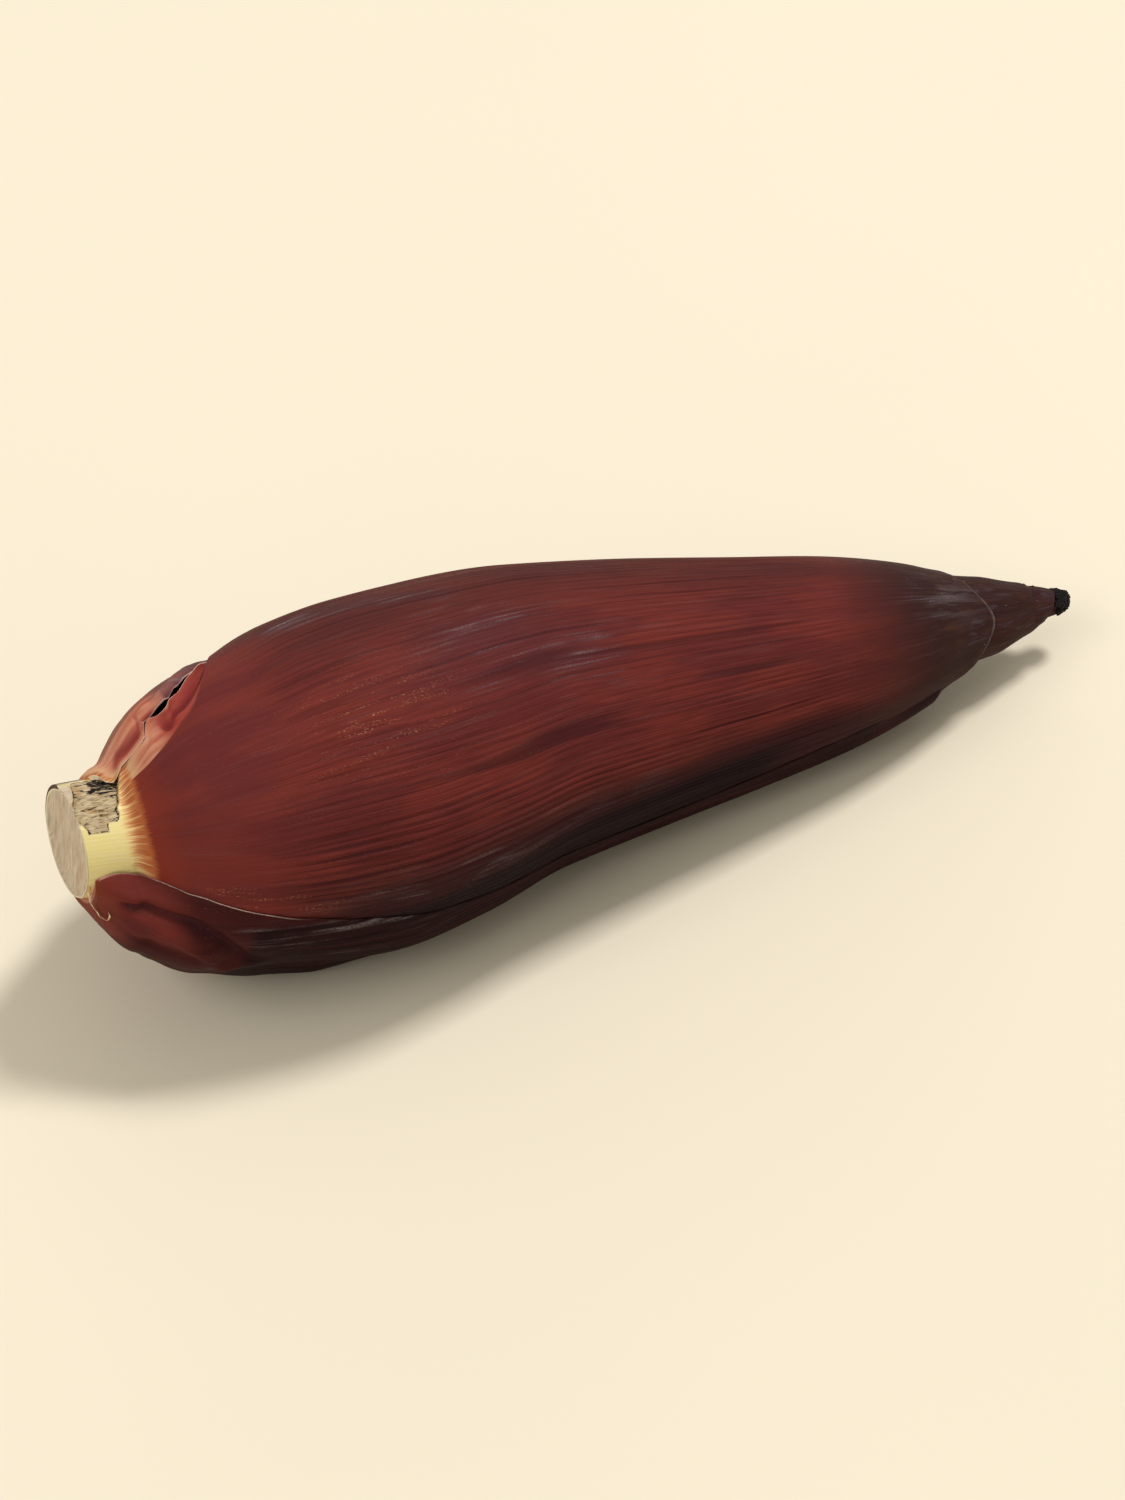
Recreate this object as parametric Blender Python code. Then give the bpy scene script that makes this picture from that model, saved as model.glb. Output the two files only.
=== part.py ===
"""A banana blossom, cut from its plant and lying on its side.

Metres, +Z up. The bud lies along +X, from the cut stalk to the pointed tip, on a small flat spot under
its weight. The origin is on the surface it lies on, under the middle of its bounding box.

Every surface is written in the bud's own frame: s is the distance along the bud's axis from the cut
face, and phi turns round that axis, with 0 degrees at the front (-Y), 90 on top and 270 underneath.
"""

import math

import bpy
import numpy as np

MM = 0.001

# Driving dimensions, in millimetres and degrees.
BUD_LENGTH = 305.0
STALK_RADIUS = 14.8
TILT = 8.0  # the axis drops towards the tip, because the bud's belly is near its stalk
AXIS_HEIGHT = 58.2  # of the axis where it meets the cut face, above the surface
AXIS_START = (-150.06, -1.41)  # x and y of the same point
BEND_DIRECTION = 137.0  # phi towards which the axis bows
SKIN_GAP = 0.45  # free space between one layer and the next
THIN_EDGE = 0.62  # a bract's least thickness

# The bud's outline: (s, radius) of the outside of the front bract, and of what shows beyond its end.
OUTLINE = [
    (0, 15.4), (12, 15.6), (16, 19.2), (22, 26.4), (28, 31.6), (38, 36.4), (49, 39.4), (65, 43.2),
    (83, 44.8), (105, 43.7), (130, 40.4), (162, 36.1), (200, 30.4), (228, 25.8), (252, 19.5),
    (259, 16.9), (266, 14.4), (271, 13.0), (277, 11.7), (282, 10.0), (292, 6.5), (297, 4.8), (302, 2.9), (BUD_LENGTH, 1.5),
]  # fmt: skip
BOW = [
    (0, 0), (20, -1.5), (45, -1.3), (65, -0.2), (83, 0.5), (105, 2.3), (132, 4.7), (162, 4.3),
    (200, 3.0), (228, 2.2), (266, 1.4), (280, 0.5), (297, 0.2), (BUD_LENGTH, 0),
]  # fmt: skip
LAYER_PITCH = [(0, 2.0), (20, 2.0), (60, 2.3), (200, 2.3), (250, 1.5), (272, 1.0), (305, 1.0)]
VISIBLE_LAYER = [(0, 1), (258, 1), (276, 2), (285, 2.2), (293, 3), (297, 4), (302, 5), (305, 5)]
# Every layer is divided at these, so that neighbouring layers keep their distance: s.
STATIONS = [
    9, 13, 18, 22, 27, 33, 40, 48, 58, 70, 83, 98, 114, 131, 149, 168, 187, 206, 224, 240, 253,
    263, 272, 280, 287, 293, 298, 302,
]  # fmt: skip
STALK = [(0, STALK_RADIUS), (6, 15.1), (12, 15.4), (13, 13.9), (20, 12.6), (36, 10.2), (60, 8.0), (77, 5.6)]


def curve_through(points):
    """A smooth function through (position, value) points that never overshoots them."""
    x, y = np.array(points, float).T
    step = np.diff(x)
    slope = np.diff(y) / step
    tangent = np.zeros_like(y)
    tangent[0], tangent[-1] = slope[0], slope[-1]
    for i in range(1, len(x) - 1):
        if slope[i - 1] * slope[i] > 0:
            before, after = 2 * step[i] + step[i - 1], step[i] + 2 * step[i - 1]
            tangent[i] = (before + after) / (before / slope[i - 1] + after / slope[i])

    def value(at):
        at = np.clip(at, x[0], x[-1])
        i = np.clip(np.searchsorted(x, at, side="right") - 1, 0, len(step) - 1)
        t = (at - x[i]) / step[i]
        start = y[i] * (1 + 2 * t) * (1 - t) ** 2 + step[i] * tangent[i] * t * (1 - t) ** 2
        end = y[i + 1] * t * t * (3 - 2 * t) + step[i] * tangent[i + 1] * t * t * (t - 1)
        return start + end

    return value


outline = curve_through(OUTLINE)
bow = curve_through(BOW)
pitch = curve_through(LAYER_PITCH)
visible_layer = curve_through(VISIBLE_LAYER)
stalk_radius = curve_through(STALK)


def ease(t):
    """0 to 1, level at both ends."""
    t = np.clip(t, 0, 1)
    return t * t * (3 - 2 * t)


def stations_between(start, end):
    """Where a layer from start to end is divided: closely at its root, then at the shared stations."""
    shared = [s for s in STATIONS if start + 4.5 < s < end - 2]
    return np.array([start, start + 1.5, start + 3.5, *shared, end], float)


def layer_radius(s, layer):
    """Outer radius of a layer: 0 is the outermost bract, and higher numbers lie inside it."""
    return outline(s) + (visible_layer(s) - layer) * pitch(s)


def place(s, phi, radius):
    """Points of the bud's frame, in millimetres and degrees, as world points in metres."""
    turn, lean, bend = np.radians(phi), math.radians(TILT), math.radians(BEND_DIRECTION)
    offset = bow(s)
    y = -radius * np.cos(turn) - offset * math.cos(bend)
    z = radius * np.sin(turn) + offset * math.sin(bend)
    x_world = s * math.cos(lean) + z * math.sin(lean) + AXIS_START[0]
    z_world = z * math.cos(lean) - s * math.sin(lean) + AXIS_HEIGHT
    return np.stack([x_world, y + AXIS_START[1], z_world], axis=-1) * MM


def material(name, colour, roughness):
    made = bpy.data.materials.new(name)
    made.use_nodes = True
    shader = made.node_tree.nodes["Principled BSDF"]
    shader.inputs["Base Color"].default_value = (*colour, 1)
    shader.inputs["Roughness"].default_value = roughness
    shader.inputs["Metallic"].default_value = 0
    return made


def add_object(name, points, faces, look):
    mesh = bpy.data.meshes.new(name)
    mesh.from_pydata([tuple(p) for p in points], [], faces)
    mesh.materials.append(look)
    mesh.shade_smooth()
    mesh.set_sharp_from_angle(angle=math.radians(50))
    made = bpy.data.objects.new(name, mesh)
    bpy.context.scene.collection.objects.link(made)
    return made


def shell_faces(rows, columns):
    """Triangles of a closed sheet: an outer and an inner grid of points, split alike, and the rim between."""
    inner = rows * columns
    faces = []
    for i in range(rows - 1):
        for j in range(columns - 1):
            a, b = i * columns + j, i * columns + j + 1
            c, d = a + columns, b + columns
            faces += [(a, d, b), (a, c, d)]
            faces += [(inner + a, inner + b, inner + d), (inner + a, inner + d, inner + c)]
    rim = [i * columns for i in range(rows)]
    rim += [(rows - 1) * columns + j for j in range(1, columns)]
    rim += [i * columns + columns - 1 for i in range(rows - 2, -1, -1)]
    rim += list(range(columns - 2, 0, -1))
    for a, b in zip(rim, rim[1:] + rim[:1]):
        faces += [(a, inner + b, b), (a, inner + a, inner + b)]
    return faces


def ring_faces(rings, sides):
    """Triangles of a closed body made of rings of points, with its two ends filled by fans."""
    faces = []
    for i in range(rings - 1):
        for j in range(sides):
            a, b = i * sides + j, i * sides + (j + 1) % sides
            c, d = a + sides, b + sides
            faces += [(a, d, b), (a, c, d)]
    start, end = rings * sides, rings * sides + 1
    last = (rings - 1) * sides
    for j in range(sides):
        faces.append((start, j, (j + 1) % sides))
        faces.append((end, last + (j + 1) % sides, last + j))
    return faces


# Bracts: each is one leathery sheet that wraps part of the bud and ends in a blunt hood.


class Bract:
    """base and tip are s at its middle line; below and above give its half-angle on each side, by s."""

    def __init__(self, middle, layer, base, tip, below, above, hood):
        self.middle, self.base, self.tip, self.hood = middle, base, tip, hood
        self.layer = curve_through(layer)
        self.below, self.above = curve_through(below), curve_through(above)
        self.growth = lambda s: 1.0
        self.lift = lambda s, u, phi: 0.0

    def radii(self, s, u, phi):
        """Outer and inner radius. The root thickens until it meets the stalk."""
        outer = layer_radius(s, self.layer(s)) * self.growth(s) + self.lift(s, u, phi)
        thickness = np.maximum(pitch(s) - SKIN_GAP, THIN_EDGE)
        edge = 1 - 0.45 * ease((np.abs(u) - 0.9) / 0.1)
        thin = outer - np.maximum(thickness * edge, THIN_EDGE)
        root = stalk_radius(s) + SKIN_GAP
        away = ease((s - self.base) / ROOT_LENGTH)
        inner = root * (1 - away) + thin * away
        return outer, np.minimum(inner, outer - THIN_EDGE)

    def grid(self, columns, ribs=0):
        """s, u, phi and the outer and inner radii on a grid that runs from root to hood."""
        s = stations_between(self.base, self.tip)[:, None]
        u = np.linspace(-1, 1, columns)[None, :] + 0 * s
        half = np.where(u < 0, self.below(s), self.above(s))
        point = self.hood * (1 - np.exp(-((u * half / POINT_HALF_ANGLE) ** 2)))
        s = s - (point + 2 * (u * half / 90) ** 2) * np.clip((s - self.tip + 20) / 20, 0, 1) ** 2
        phi = self.middle + u * half
        outer, inner = self.radii(s, u, phi)
        relief = RIB_HEIGHT * np.cos(2 * math.pi * ribs * (u + 1) / 2)
        relief *= ease((s - self.base) / 40) * ease((self.tip - s - 15) / 50) * ease((1 - np.abs(u)) / 0.1)
        return s, phi, outer + relief * (ribs > 0), inner

    def build(self, name, columns, look, ribs=0):
        s, phi, outer, inner = self.grid(columns, ribs)
        skins = [place(s, phi, outer).reshape(-1, 3), place(s, phi, inner).reshape(-1, 3)]
        for skin, lowest in zip(skins, (0.0, REST_THICKNESS * MM)):
            skin[:, 2] = np.maximum(skin[:, 2], lowest)
        return add_object(name, np.concatenate(skins), shell_faces(len(s), columns), look)


ROOT_LENGTH = 7.0
POINT_HALF_ANGLE = 34.0  # of the point in the middle of a bract's blunt end
RIB_HEIGHT = 0.16
REST_THICKNESS = 1.6  # of the outermost bract where the surface flattens it


def under_lift(s, u, phi):
    """The outermost bract bellies out over its own hand of florets, and its edges lie close again."""
    across = ease((POUCH_HALF_ANGLE - np.abs(phi - UNDER_MIDDLE)) / 22)
    return flare(s) * (1 - np.abs(u) ** 5) + pouch(s) * across


def front_lift(s, u, phi):
    """The front bract's upper edge crumples near the root: it dips, and its lip stands up in waves."""
    margin = (1 - u) * 60
    zone = ease((s - 13) / 8) * ease((62 - s) / 14) * (u > 0)
    dip = -2.6 * np.exp(-(((margin - 9) / 5) ** 2))
    lip = (1.1 + 0.8 * np.sin(s / 2.6)) * np.exp(-((margin / 3.5) ** 2))
    return zone * (dip + lip)


def back_lift(s, u, phi):
    """The back bract's edge beside that lip, crumpled in the same way."""
    margin = (1 + u) * 60
    zone = ease((s - 13) / 8) * ease((58 - s) / 14) * (u < 0)
    dip = -2.2 * np.exp(-(((margin - 10) / 5.5) ** 2))
    lip = (0.9 + 0.7 * np.sin(s / 3.1 + 1)) * np.exp(-((margin / 4) ** 2))
    return zone * (dip + lip) + back_flare(s) * ease((165 - phi) / 25)


UNDER_MIDDLE = 260.0
POUCH_HALF_ANGLE = 54.0
FLARE = [
    (2, 0.4), (4, 3.4), (6.5, 7.2), (12.5, 13.4), (21, 9), (35, 2.6), (50, 0.8), (63, 1.0), (80, 1.4),
    (97, 1.1), (115, 0.5), (132, 0),
]  # fmt: skip
POUCH = [
    (14, 0), (24, 1.8), (35, 4.0), (46, 5.7), (60, 5.7), (68, 4.6), (80, 1.8), (97, 1.1), (112, 2.0),
    (132, 2.5), (152, 2.1), (172, 1.9), (200, 1.5), (225, 0.8), (248, 0),
]  # fmt: skip
flare, pouch = curve_through(FLARE), curve_through(POUCH)
back_flare = curve_through([(12.5, 0), (17, 3.0), (25, 1.6), (34, 0)])
BRACT_STEP = 140.0  # each bract grows this far round the stalk from the one outside it


def make_bracts():
    under = Bract(
        UNDER_MIDDLE, [(0, 0), (305, 0)], 2.0, 258,
        [(2, 58), (10, 63), (24, 74), (50, 84), (72, 82), (100, 76), (150, 72), (264, 92)],
        [(2, 99), (8, 106), (15, 103), (24, 102), (34, 98), (46, 93), (60, 89), (100, 78), (150, 72), (264, 92)],
        3,
    )  # fmt: skip
    under.lift = under_lift
    front = Bract(
        UNDER_MIDDLE + BRACT_STEP - 360, [(0, 1), (305, 1)], 13.5, 271.5,
        [(13, 56), (24, 60), (40, 78), (60, 95), (100, 102), (160, 100), (280, 112)],
        [(13, 60), (18, 64), (28, 69), (33, 74), (37, 80), (45, 90), (58, 102), (75, 107), (110, 104), (280, 112)],
        4.5,
    )  # fmt: skip
    front.lift = front_lift
    back = Bract(
        UNDER_MIDDLE + 2 * BRACT_STEP - 360, [(0, 1), (34, 1), (54, 2), (305, 2)], 12.5, 291,
        [(12, 72), (20, 70), (28, 66), (33, 61), (38, 54), (46, 44), (54, 39), (63, 46), (80, 78), (110, 98), (286, 112)],
        [(12, 78), (30, 84), (60, 96), (110, 100), (286, 112)],
        2.5,
    )  # fmt: skip
    back.lift = back_lift
    wrap = [(40, 62), (70, 88), (100, 102), (300, 112)]
    low = Bract(UNDER_MIDDLE + 3 * BRACT_STEP - 360, [(0, 3), (305, 3)], 45, 295, wrap, wrap, 2)
    low.growth = curve_through([(45, 0.33), (60, 0.49), (75, 0.64), (95, 0.86), (122, 1)])
    top = Bract(UNDER_MIDDLE + 4 * BRACT_STEP - 720, [(0, 4), (305, 4)], 62, 299, wrap, wrap, 1.5)
    top.growth = curve_through([(62, 0.27), (80, 0.48), (104, 0.79), (134, 1)])

    skin = material("bract_skin", (0.23, 0.035, 0.040), 0.42)
    deep = material("inner_bract_skin", (0.12, 0.030, 0.040), 0.45)
    under.build("bract_1_under", 25, skin)
    front.build("bract_2_front", 33, skin, ribs=16)
    back.build("bract_3_back", 23, skin)
    low.build("bract_4_inner_low", 17, deep)
    top.build("bract_5_inner_top", 17, deep)
    return deep


# The stalk runs on inside the bud, and the innermost bracts, still one tight bud, sit beyond its end.

STALK_END = 77.0
SCAR = {"from": 2.5, "to": 12.2, "middle": 86.0, "half_angle": 30.0, "depth": 1.5}
HEART_START = 79.0


def make_stalk():
    sides = 30
    stations = np.array([0, 1.2, 2.4, 3.2, 6, 9, 12, 12.9, 13.1, 17, 24, 34, 48, 62, STALK_END])[:, None]
    phi = np.arange(sides)[None, :] * 360 / sides + 0 * stations
    radius = stalk_radius(stations) + 0 * phi
    radius -= 1.0 * ease(1 - stations / 1.2)
    off = np.abs((phi - SCAR["middle"] + 180) % 360 - 180)
    inside = (stations > SCAR["from"]) & (stations < SCAR["to"]) & (off <= SCAR["half_angle"])
    flat = (STALK_RADIUS - SCAR["depth"]) / np.cos(np.radians(off) * 0.55)
    radius = np.where(inside, np.minimum(radius, flat), radius)
    points = place(stations, phi, radius).reshape(-1, 3)
    ends = [place(np.array(at), 0.0, 0.0) for at in (0.0, STALK_END)]
    rind = material("stalk", (0.78, 0.70, 0.33), 0.5)
    faces = ring_faces(len(stations), sides)
    return add_object("stalk", np.concatenate([points, ends]), faces, rind)


def make_heart(look):
    sides = 20
    stations = stations_between(HEART_START, BUD_LENGTH - 0.4)[:, None]
    growth = curve_through([(79, 0.16), (86, 0.42), (104, 0.74), (134, 0.96), (150, 1)])
    radius = layer_radius(stations, 5) * growth(stations)
    phi = np.arange(sides)[None, :] * 360 / sides + 0 * stations
    points = place(stations, phi, radius + 0 * phi).reshape(-1, 3)
    ends = [place(np.array(at), 0.0, 0.0) for at in (HEART_START, BUD_LENGTH)]
    faces = ring_faces(len(stations), sides)
    return add_object("heart", np.concatenate([points, ends]), faces, look)


# Hands of florets: one lies in the axil of each outer bract, fused to a pad on the stalk.

FLORET_SIDES = 5
FLORET_RADIUS = curve_through([(0, 1.4), (0.2, 2.0), (0.42, 2.1), (0.56, 2.7), (0.8, 2.5), (0.95, 2.0), (1, 1.3)])
FLORET_STATIONS = np.array([0, 0.2, 0.4, 0.56, 0.77, 0.93, 1.0])


def add_tube(name, path, radii, sides, look):
    """A closed tube along a path of world points."""
    points = []
    for i, centre in enumerate(path):
        along = path[min(i + 1, len(path) - 1)] - path[max(i - 1, 0)]
        along = along / np.linalg.norm(along)
        side = np.cross(along, (0.13, 0.31, 0.94))
        side /= np.linalg.norm(side)
        other = np.cross(along, side)
        for j in range(sides):
            turn = 2 * math.pi * j / sides
            points.append(centre + radii[i] * MM * (side * math.cos(turn) + other * math.sin(turn)))
    points += [path[0], path[-1]]
    return add_object(name, np.array(points), ring_faces(len(path), sides), look)


def add_pad(name, s_from, s_to, phi_from, phi_to, height, look):
    """The curved cushion on the stalk that a hand of florets grows from."""
    rows, columns = 3, 13
    s = np.linspace(s_from, s_to, rows)[:, None] + np.zeros((1, columns))
    phi = np.linspace(phi_from, phi_to, columns)[None, :] + 0 * s
    inner = stalk_radius(s) + SKIN_GAP
    skins = [place(s, phi, r).reshape(-1, 3) for r in (inner + height, inner)]
    return add_object(name, np.concatenate(skins), shell_faces(rows, columns), look)


def make_hand(name, middle, spacing, count, route, pad, look):
    """route is the (s, radius) line that each floret follows, from the pad to its tip."""
    radius_at = curve_through(route)
    start, end = route[0][0], route[-1][0]
    half = (count - 1) / 2 * spacing
    hand = add_pad(name, pad[0], pad[1], middle - half - 3, middle + half + 3, pad[2], look)
    florets = bpy.data.collections.new(name + "_florets")
    bpy.context.scene.collection.children.link(florets)
    for i in range(count):
        reach = end - 3.0 * (i % 2) - 1.5 * ((i * 7) % 3) / 2
        s = start + (reach - start) * FLORET_STATIONS
        phi = middle - half + i * spacing + 0 * s
        path = place(s, phi, radius_at(s))
        tube = add_tube(f"{name}_{i}", path, FLORET_RADIUS(FLORET_STATIONS), FLORET_SIDES, look)
        bpy.context.scene.collection.objects.unlink(tube)
        florets.objects.link(tube)
    join = hand.modifiers.new("florets", "BOOLEAN")
    join.operation = "UNION"
    join.operand_type = "COLLECTION"
    join.solver = "EXACT"
    join.collection = florets
    graph = bpy.context.evaluated_depsgraph_get()
    joined = bpy.data.meshes.new_from_object(hand.evaluated_get(graph))
    hand.modifiers.clear()
    hand.data = joined
    for tube in list(florets.objects):
        bpy.data.objects.remove(tube)
    bpy.data.collections.remove(florets)
    return hand


def make_hands():
    look = material("floret", (0.86, 0.80, 0.58), 0.4)
    under_route = [(8, 16.5), (14, 21.5), (21, 29), (30, 36), (45, 42.4), (60, 45.6), (66, 46.2)]
    make_hand("floret_hand_1_under", UNDER_MIDDLE, 7.4, 9, under_route, (6.5, 10.5, 3.0), look)
    front_route = [(20, 15), (28, 23), (40, 31), (55, 35.8), (70, 38.6), (78, 39.4)]
    make_hand("floret_hand_2_front", 38.0, 9.0, 8, front_route, (20, 24, 3.5), look)
    back_route = [(20, 15), (28, 22), (40, 29), (55, 33.4), (70, 36.4), (78, 37.2)]
    make_hand("floret_hand_3_back", 178.0, 9.0, 9, back_route, (20, 24, 3.5), look)


def main():
    for old in list(bpy.data.objects):
        bpy.data.objects.remove(old)
    deep = make_bracts()
    make_stalk()
    make_heart(deep)
    make_hands()


main()
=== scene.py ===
"""The looks of a banana blossom lying on a pale floor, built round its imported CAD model.

As in the CAD source, s is the distance along the bud's axis from the cut face in millimetres, and phi
turns round that axis in degrees: 0 at the front, 90 on top, 180 at the back, 270 underneath.
"""

import math

import bpy
import mathutils
import numpy as np
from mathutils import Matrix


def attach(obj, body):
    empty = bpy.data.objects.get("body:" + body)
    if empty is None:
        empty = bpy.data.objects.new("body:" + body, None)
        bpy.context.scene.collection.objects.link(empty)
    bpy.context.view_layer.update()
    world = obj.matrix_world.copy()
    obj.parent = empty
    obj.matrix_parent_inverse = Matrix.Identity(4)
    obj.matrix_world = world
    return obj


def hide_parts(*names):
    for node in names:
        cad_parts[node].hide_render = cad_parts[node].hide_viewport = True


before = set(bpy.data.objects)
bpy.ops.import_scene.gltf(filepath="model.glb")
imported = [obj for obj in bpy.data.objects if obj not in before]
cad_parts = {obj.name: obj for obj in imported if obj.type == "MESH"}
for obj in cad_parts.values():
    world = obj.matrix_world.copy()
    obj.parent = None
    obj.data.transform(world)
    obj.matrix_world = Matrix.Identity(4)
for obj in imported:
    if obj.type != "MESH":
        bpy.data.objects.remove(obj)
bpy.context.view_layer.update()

MM = 0.001
BODY = "root"

# The shape of the bud, from the same values as the CAD source.
BUD_LENGTH = 305.0
STALK_RADIUS = 14.8
TILT = 8.0
AXIS_HEIGHT = 58.2
AXIS_START = (-150.06, -1.41)
BEND_DIRECTION = 137.0
SKIN_GAP = 0.45
OUTLINE = [
    (0, 15.4), (12, 15.6), (16, 19.2), (22, 26.4), (28, 31.6), (38, 36.4), (49, 39.4), (65, 43.2),
    (83, 44.8), (105, 43.7), (130, 40.4), (162, 36.1), (200, 30.4), (228, 25.8), (252, 19.5), (259, 16.9),
    (266, 14.4), (271, 13.0), (277, 11.7), (282, 10.0), (292, 6.5), (297, 4.8), (302, 2.9), (BUD_LENGTH, 1.5),
]  # fmt: skip
BOW = [
    (0, 0), (20, -1.5), (45, -1.3), (65, -0.2), (83, 0.5), (105, 2.3), (132, 4.7), (162, 4.3),
    (200, 3.0), (228, 2.2), (266, 1.4), (280, 0.5), (297, 0.2), (BUD_LENGTH, 0),
]  # fmt: skip
LAYER_PITCH = [(0, 2.0), (20, 2.0), (60, 2.3), (200, 2.3), (250, 1.5), (272, 1.0), (305, 1.0)]
VISIBLE_LAYER = [(0, 1), (258, 1), (276, 2), (285, 2.2), (293, 3), (297, 4), (302, 5), (305, 5)]
STALK = [(0, STALK_RADIUS), (6, 15.1), (12, 15.4), (13, 13.9), (20, 12.6), (36, 10.2), (60, 8.0), (77, 5.6)]


def curve_through(points):
    """A smooth function through (position, value) points that never overshoots them."""
    x, y = np.array(points, float).T
    step = np.diff(x)
    slope = np.diff(y) / step
    tangent = np.zeros_like(y)
    tangent[0], tangent[-1] = slope[0], slope[-1]
    for i in range(1, len(x) - 1):
        if slope[i - 1] * slope[i] > 0:
            before, after = 2 * step[i] + step[i - 1], step[i] + 2 * step[i - 1]
            tangent[i] = (before + after) / (before / slope[i - 1] + after / slope[i])

    def value(at):
        at = np.clip(at, x[0], x[-1])
        i = np.clip(np.searchsorted(x, at, side="right") - 1, 0, len(step) - 1)
        t = (at - x[i]) / step[i]
        start = y[i] * (1 + 2 * t) * (1 - t) ** 2 + step[i] * tangent[i] * t * (1 - t) ** 2
        end = y[i + 1] * t * t * (3 - 2 * t) + step[i] * tangent[i + 1] * t * t * (t - 1)
        return start + end

    return value


outline = curve_through(OUTLINE)
bow = curve_through(BOW)
pitch = curve_through(LAYER_PITCH)
visible_layer = curve_through(VISIBLE_LAYER)
stalk_radius = curve_through(STALK)


def ease(t):
    """0 to 1, level at both ends."""
    t = np.clip(t, 0, 1)
    return t * t * (3 - 2 * t)


def rise(x, start, width):
    """0 up to start, and 1 from start + width on."""
    return ease((x - start) / width)


def fall(x, end, width):
    """1 up to end - width, and 0 from end on."""
    return ease((end - x) / width)


def bell(t):
    """1 at 0, and about a third at 1 and -1."""
    return np.exp(-(t**2))


def hump(x, middle, width):
    """1 at middle, and about a third at width from it."""
    return bell((x - middle) / width)


def turned(phi, middle):
    """How far phi is from middle, from -180 to 180."""
    return (phi - middle + 180) % 360 - 180


def wander(x, y, seed):
    """Smooth noise from -1 to 1, with about one hill or hollow to each unit square."""

    def corner(i, j):
        scrambled = np.sin(i * 127.1 + j * 311.7 + seed * 53.3) * 43758.5453
        return scrambled - np.floor(scrambled)

    i, j = np.floor(x), np.floor(y)
    along, across = ease(x - i), ease(y - j)
    low = corner(i, j) * (1 - along) + corner(i + 1, j) * along
    high = corner(i, j + 1) * (1 - along) + corner(i + 1, j + 1) * along
    return 2 * (low * (1 - across) + high * across) - 1


def layer_radius(s, layer):
    """The outside of a bract layer, counted from 0 outside to 5 for the heart."""
    return outline(s) + (visible_layer(s) - layer) * pitch(s)


def place(s, phi, radius):
    """Points of the bud's frame, in millimetres and degrees, as world points in metres."""
    turn, lean, bend = np.radians(phi), math.radians(TILT), math.radians(BEND_DIRECTION)
    offset = bow(s)
    y = -radius * np.cos(turn) - offset * math.cos(bend)
    z = radius * np.sin(turn) + offset * math.sin(bend)
    x_world = s * math.cos(lean) + z * math.sin(lean) + AXIS_START[0]
    z_world = z * math.cos(lean) - s * math.sin(lean) + AXIS_HEIGHT
    return np.stack([x_world, y + AXIS_START[1] + 0 * z, z_world], axis=-1) * MM


# Materials, as node trees.


class Wire:
    """A value in a look's node tree. Its sums, products and ramps are nodes of the same tree."""

    def __init__(self, look, socket):
        self.look, self.socket = look, socket

    def __add__(self, other):
        return self.look.sums("ADD", self, other)

    def __mul__(self, other):
        return self.look.sums("MULTIPLY", self, other)

    def ramp(self, low, high, a=0, b=1):
        """a below low, b above high, and smooth from one to the other; low may be the higher one."""
        inputs = {"Value": self, "From Min": low, "From Max": high, "To Min": a, "To Max": b}
        return self.look.node("MapRange", inputs, "Result", interpolation_type="SMOOTHSTEP")

    def parts(self):
        return self.look.node("SeparateXYZ", {0: self}, 0, 1, 2)


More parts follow.
